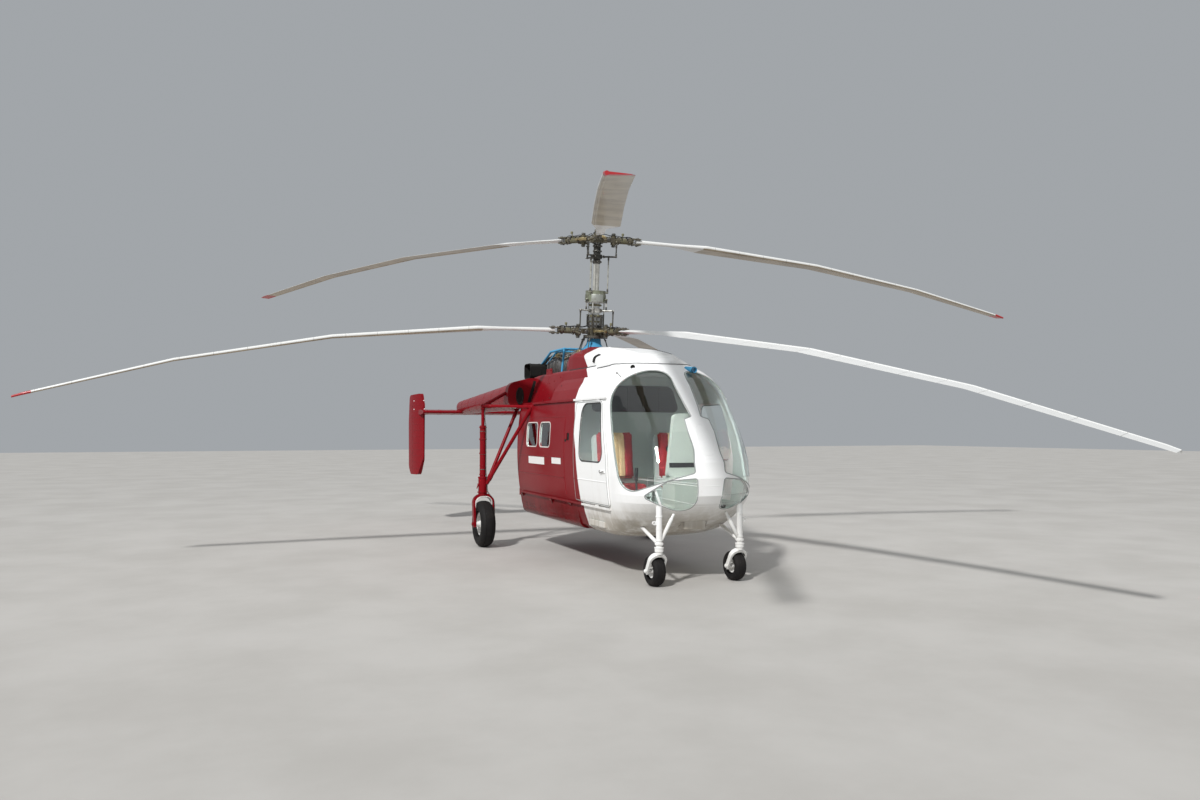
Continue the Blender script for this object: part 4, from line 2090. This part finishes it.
def boom_seams(side, label):
    """Lap rings and rivet rows on a tail boom, and the dark openings of the boom carrier."""
    tree = cad_surface(f"boom_{label}")
    laps = bmesh.new()
    rows = bmesh.new()
    start, end = sided(side, BOOM_START, BOOM_END)
    for station in BOOM_LAPS:
        share = (station - BOOM_START[1]) / (BOOM_END[1] - BOOM_START[1])
        ring = hoop(tree, start.lerp(end, share), spokes(40, ACROSS, UP), 0.6)
        if len(ring) < 40:
            continue
        add_band(laps, ring, flat_strip(0.026, 0.0014), closed=True)
        for shift in (-0.022, 0.022):
            rivet_row(rows, shifted([*ring, ring[0]], 0, shift, 0), 0.036, 0.0032, 0.0024)
    for rise in (0.05, -0.05):
        head, tail = start + Vector((0, 0.12, rise)), end + Vector((0, -0.10, rise * 0.6))
        for way in (1, -1):
            rivet_row(rows, traced(tree, head, tail, (way, 0, 0), 0.1), 0.04, 0.003, 0.0014)
    add_piece(f"boom_laps_{label}", laps, "red")
    add_piece(f"boom_rivets_{label}", rows, "red")
    shape = bmesh.new()
    gap = sided(side, (0.512, 3.44, 2.215), (0.612, 3.44, 1.885))
    add_band(shape, traced(deck_skin, *gap, AFT, 0.05), flat_strip(0.040, 0.004))
    centre = at(side * 0.735, 3.44 - 0.4, 1.965)
    starts = [centre + way for way in spokes(32, ACROSS * 0.045, UP * 0.105)]
    ring = landed(deck_skin, starts, AFT, 1.0)
    if len(ring) == 32:
        add_band(shape, ring, half_round(0.020, 0.012), closed=True)
        add_sheet(shape, ring, 0.001, 0.003)
    add_piece(f"carrier_openings_{label}", shape, "soot")


def rear_door_fittings(side, label):
    """A handle, three hinge straps, and a rivet row on a rear door."""
    body = f"rear_door_{label}"
    tree = cad_surface(body)
    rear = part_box(body)[1][1]
    shape = bmesh.new()
    for height in (0.76, 1.15, 1.52):
        inner, outer = Vector((side * 0.50, rear, height)), Vector((side * 0.66, rear, height))
        line = traced(tree, inner, outer, -AFT, 0.04)
        if len(line) > 1:
            add_band(shape, line, flat_strip(0.036, 0.004))
            add_nuts(shape, raised(line[1:-1], 0.004), 0.011, 0.005)
    frame_line = (
        (side * 0.05, 0.62, 0.03),
        (side * 0.62, 0.62, 0.06),
        (side * 0.62, 1.64, 0.06),
        (side * 0.05, 1.64, 0.03),
    )
    starts = [Vector((flat.x, rear + 0.5, flat.y)) for flat in rounded(frame_line, step=0.05)]
    rivet_row(shape, landed(tree, starts, -AFT, 1.5), 0.05, 0.0035, 0.0016)
    add_piece(f"rear_door_straps_{label}", shape, "red", body)
    handle = bmesh.new()
    spot = land(tree, Vector((side * 0.07, rear + 0.5, 1.12)), -AFT, 1.5)[0]
    add_turned(handle, ((-0.002, 0.022), (0.006, 0.022), (0.008, 0.012), (0.022, 0.010)), spot, AFT, 20)
    steps = ((0, 0.020, 0.0), (side * 0.03, 0.026, -0.01), (side * 0.105, 0.022, -0.016))
    add_tube(handle, smooth_path([spot + Vector(step) for step in steps], 5), 0.0065, 10)
    add_piece(f"rear_door_handle_{label}", handle, "dark_steel", body)


for_sides(fin_ribs)
tailplane_ribs()
for_sides(boom_seams)
for_sides(rear_door_fittings)


# Cab inside: dials, panel band, pedals, belts and the rear lining

panel_skin = cad_surface("console")
pad_skin = cad_surface("seat_cushions")


def panel_details():
    """Dials with needles on the instrument panel, and the dark band below its hood."""
    faces = bmesh.new()
    rims = bmesh.new()
    for row, height in enumerate((1.20, 1.32, 1.44, 1.56)):
        for column in range(4):
            across = -0.075 + column * 0.098
            if across < -0.15 + 0.20 * (height - 1.03):
                continue
            for point, normal in landed(panel_skin, [at(across, 0.70, height)], -AFT, 0.6):
                size = 0.040 if (row + column) % 3 else 0.033
                rim = ((-0.001, size), (0.006, size), (0.008, size - 0.003), (0.006, size - 0.005))
                add_turned(rims, rim, point, normal, 28)
                add_turned(faces, ((0.0062, size - 0.004), (0.0068, 0.0)), point, normal, 28)
                needle = point + normal * 0.0075
                turn = rng.uniform(0, 2 * math.pi)
                tip = Vector((math.cos(turn), 0, math.sin(turn))) * (size - 0.010)
                add_tube(faces, (needle, needle + tip), 0.0012, 6)
    add_piece("dial_rims", rims, "panel_black")
    add_piece("dial_faces", faces, "plate")
    shape = bmesh.new()
    band = traced(panel_skin, at(-0.13, 0.28, 1.155), at(0.27, 0.28, 1.155), AFT, 0.04)
    add_band(shape, band, flat_strip(0.050, 0.003))
    add_piece("panel_band", shape, "panel_black")


STICK_BOOT = ((0.0, 0.052), (0.010, 0.050), (0.022, 0.034), (0.030, 0.036), (0.042, 0.024), (0.060, 0.014))


def crew_fittings(side, label):
    """The stick's boot, two pedals and the lap belt of one seat."""
    x = side * SEAT_X
    shape = bmesh.new()
    add_turned(shape, STICK_BOOT, at(x, 0.56, 0.600), (0, 0.04, 1), 28)
    for middle in (x - 0.085, x + 0.085):
        add_box(shape, at(middle - 0.036, 0.235, 0.665), at(middle + 0.036, 0.247, 0.735))
        add_tube(shape, (at(middle, 0.247, 0.700), at(middle, 0.330, 0.610)), 0.008, 8)
        for number in range(4):
            height = 0.674 + number * 0.017
            add_box(shape, at(middle - 0.033, 0.247, height), at(middle + 0.033, 0.251, height + 0.008))
    add_piece(f"pedals_{label}", shape, "panel_black", bevel=0.001)
    belts = bmesh.new()
    starts = [at(x - 0.215 + number * 0.43 / 14, 0.985, 1.5) for number in range(15)]
    add_band(belts, landed(pad_skin, starts, -UP, 1.5), flat_strip(0.044, 0.0025, 0.001))
    add_piece(f"belts_{label}", belts, "belt")
    buckle = bmesh.new()
    spot = land(pad_skin, at(x, 0.985, 1.5), -UP, 1.5)[0]
    add_box(buckle, spot + Vector((-0.036, -0.026, 0.001)), spot + Vector((0.036, 0.026, 0.012)))
    add_piece(f"buckle_{label}", buckle, "dark_steel", bevel=0.003)


def rear_lining():
    """A dark quilted panel on the upper part of the cab's rear wall."""
    shape = bmesh.new()
    outline = ((-0.56, 1.72, 0.06), (0.56, 1.72, 0.06), (0.46, 2.02, 0.10), (-0.46, 2.02, 0.10))
    starts = [at(flat.x, 1.0, flat.y) for flat in rounded(outline, step=0.05)]
    add_sheet(shape, landed(nose_skin, starts, AFT, 0.6), 0.0, 0.008)
    for across in (-0.3, -0.1, 0.1, 0.3):
        line = traced(nose_skin, at(across, 1.30, 1.74), at(across, 1.30, 2.00), AFT, 0.05)
        if len(line) > 1:
            add_band(shape, raised(line, 0.008), half_round(0.02, 0.004))
    add_piece("rear_lining", shape, "panel_black")


panel_details()
for_sides(crew_fittings)
rear_lining()


# Floor

FLOOR_REACH = 60
FLOOR_DROP = 0.0005
floor_shape = bmesh.new()
bmesh.ops.create_grid(floor_shape, x_segments=1, y_segments=1, size=FLOOR_REACH)
floor = mesh_object("floor", floor_shape)
floor.location.z = -FLOOR_DROP
floor_paint, floor_tree, floor_shader = new_material("pale_floor")
floor_grain = noise_value(floor_tree, object_coords(floor_tree), 0.8, 6.0, 0.6)
floor_tone = ramp(floor_tree, floor_grain, 0.3, 0.7)
floor_colour = mix(floor_tree, floor_tone, (0.46, 0.44, 0.41, 1.0), (0.52, 0.50, 0.47, 1.0))
floor_tree.links.new(floor_colour, floor_shader.inputs["Base Color"])
floor_shader.inputs["Roughness"].default_value = 0.8
floor.data.materials.append(floor_paint)
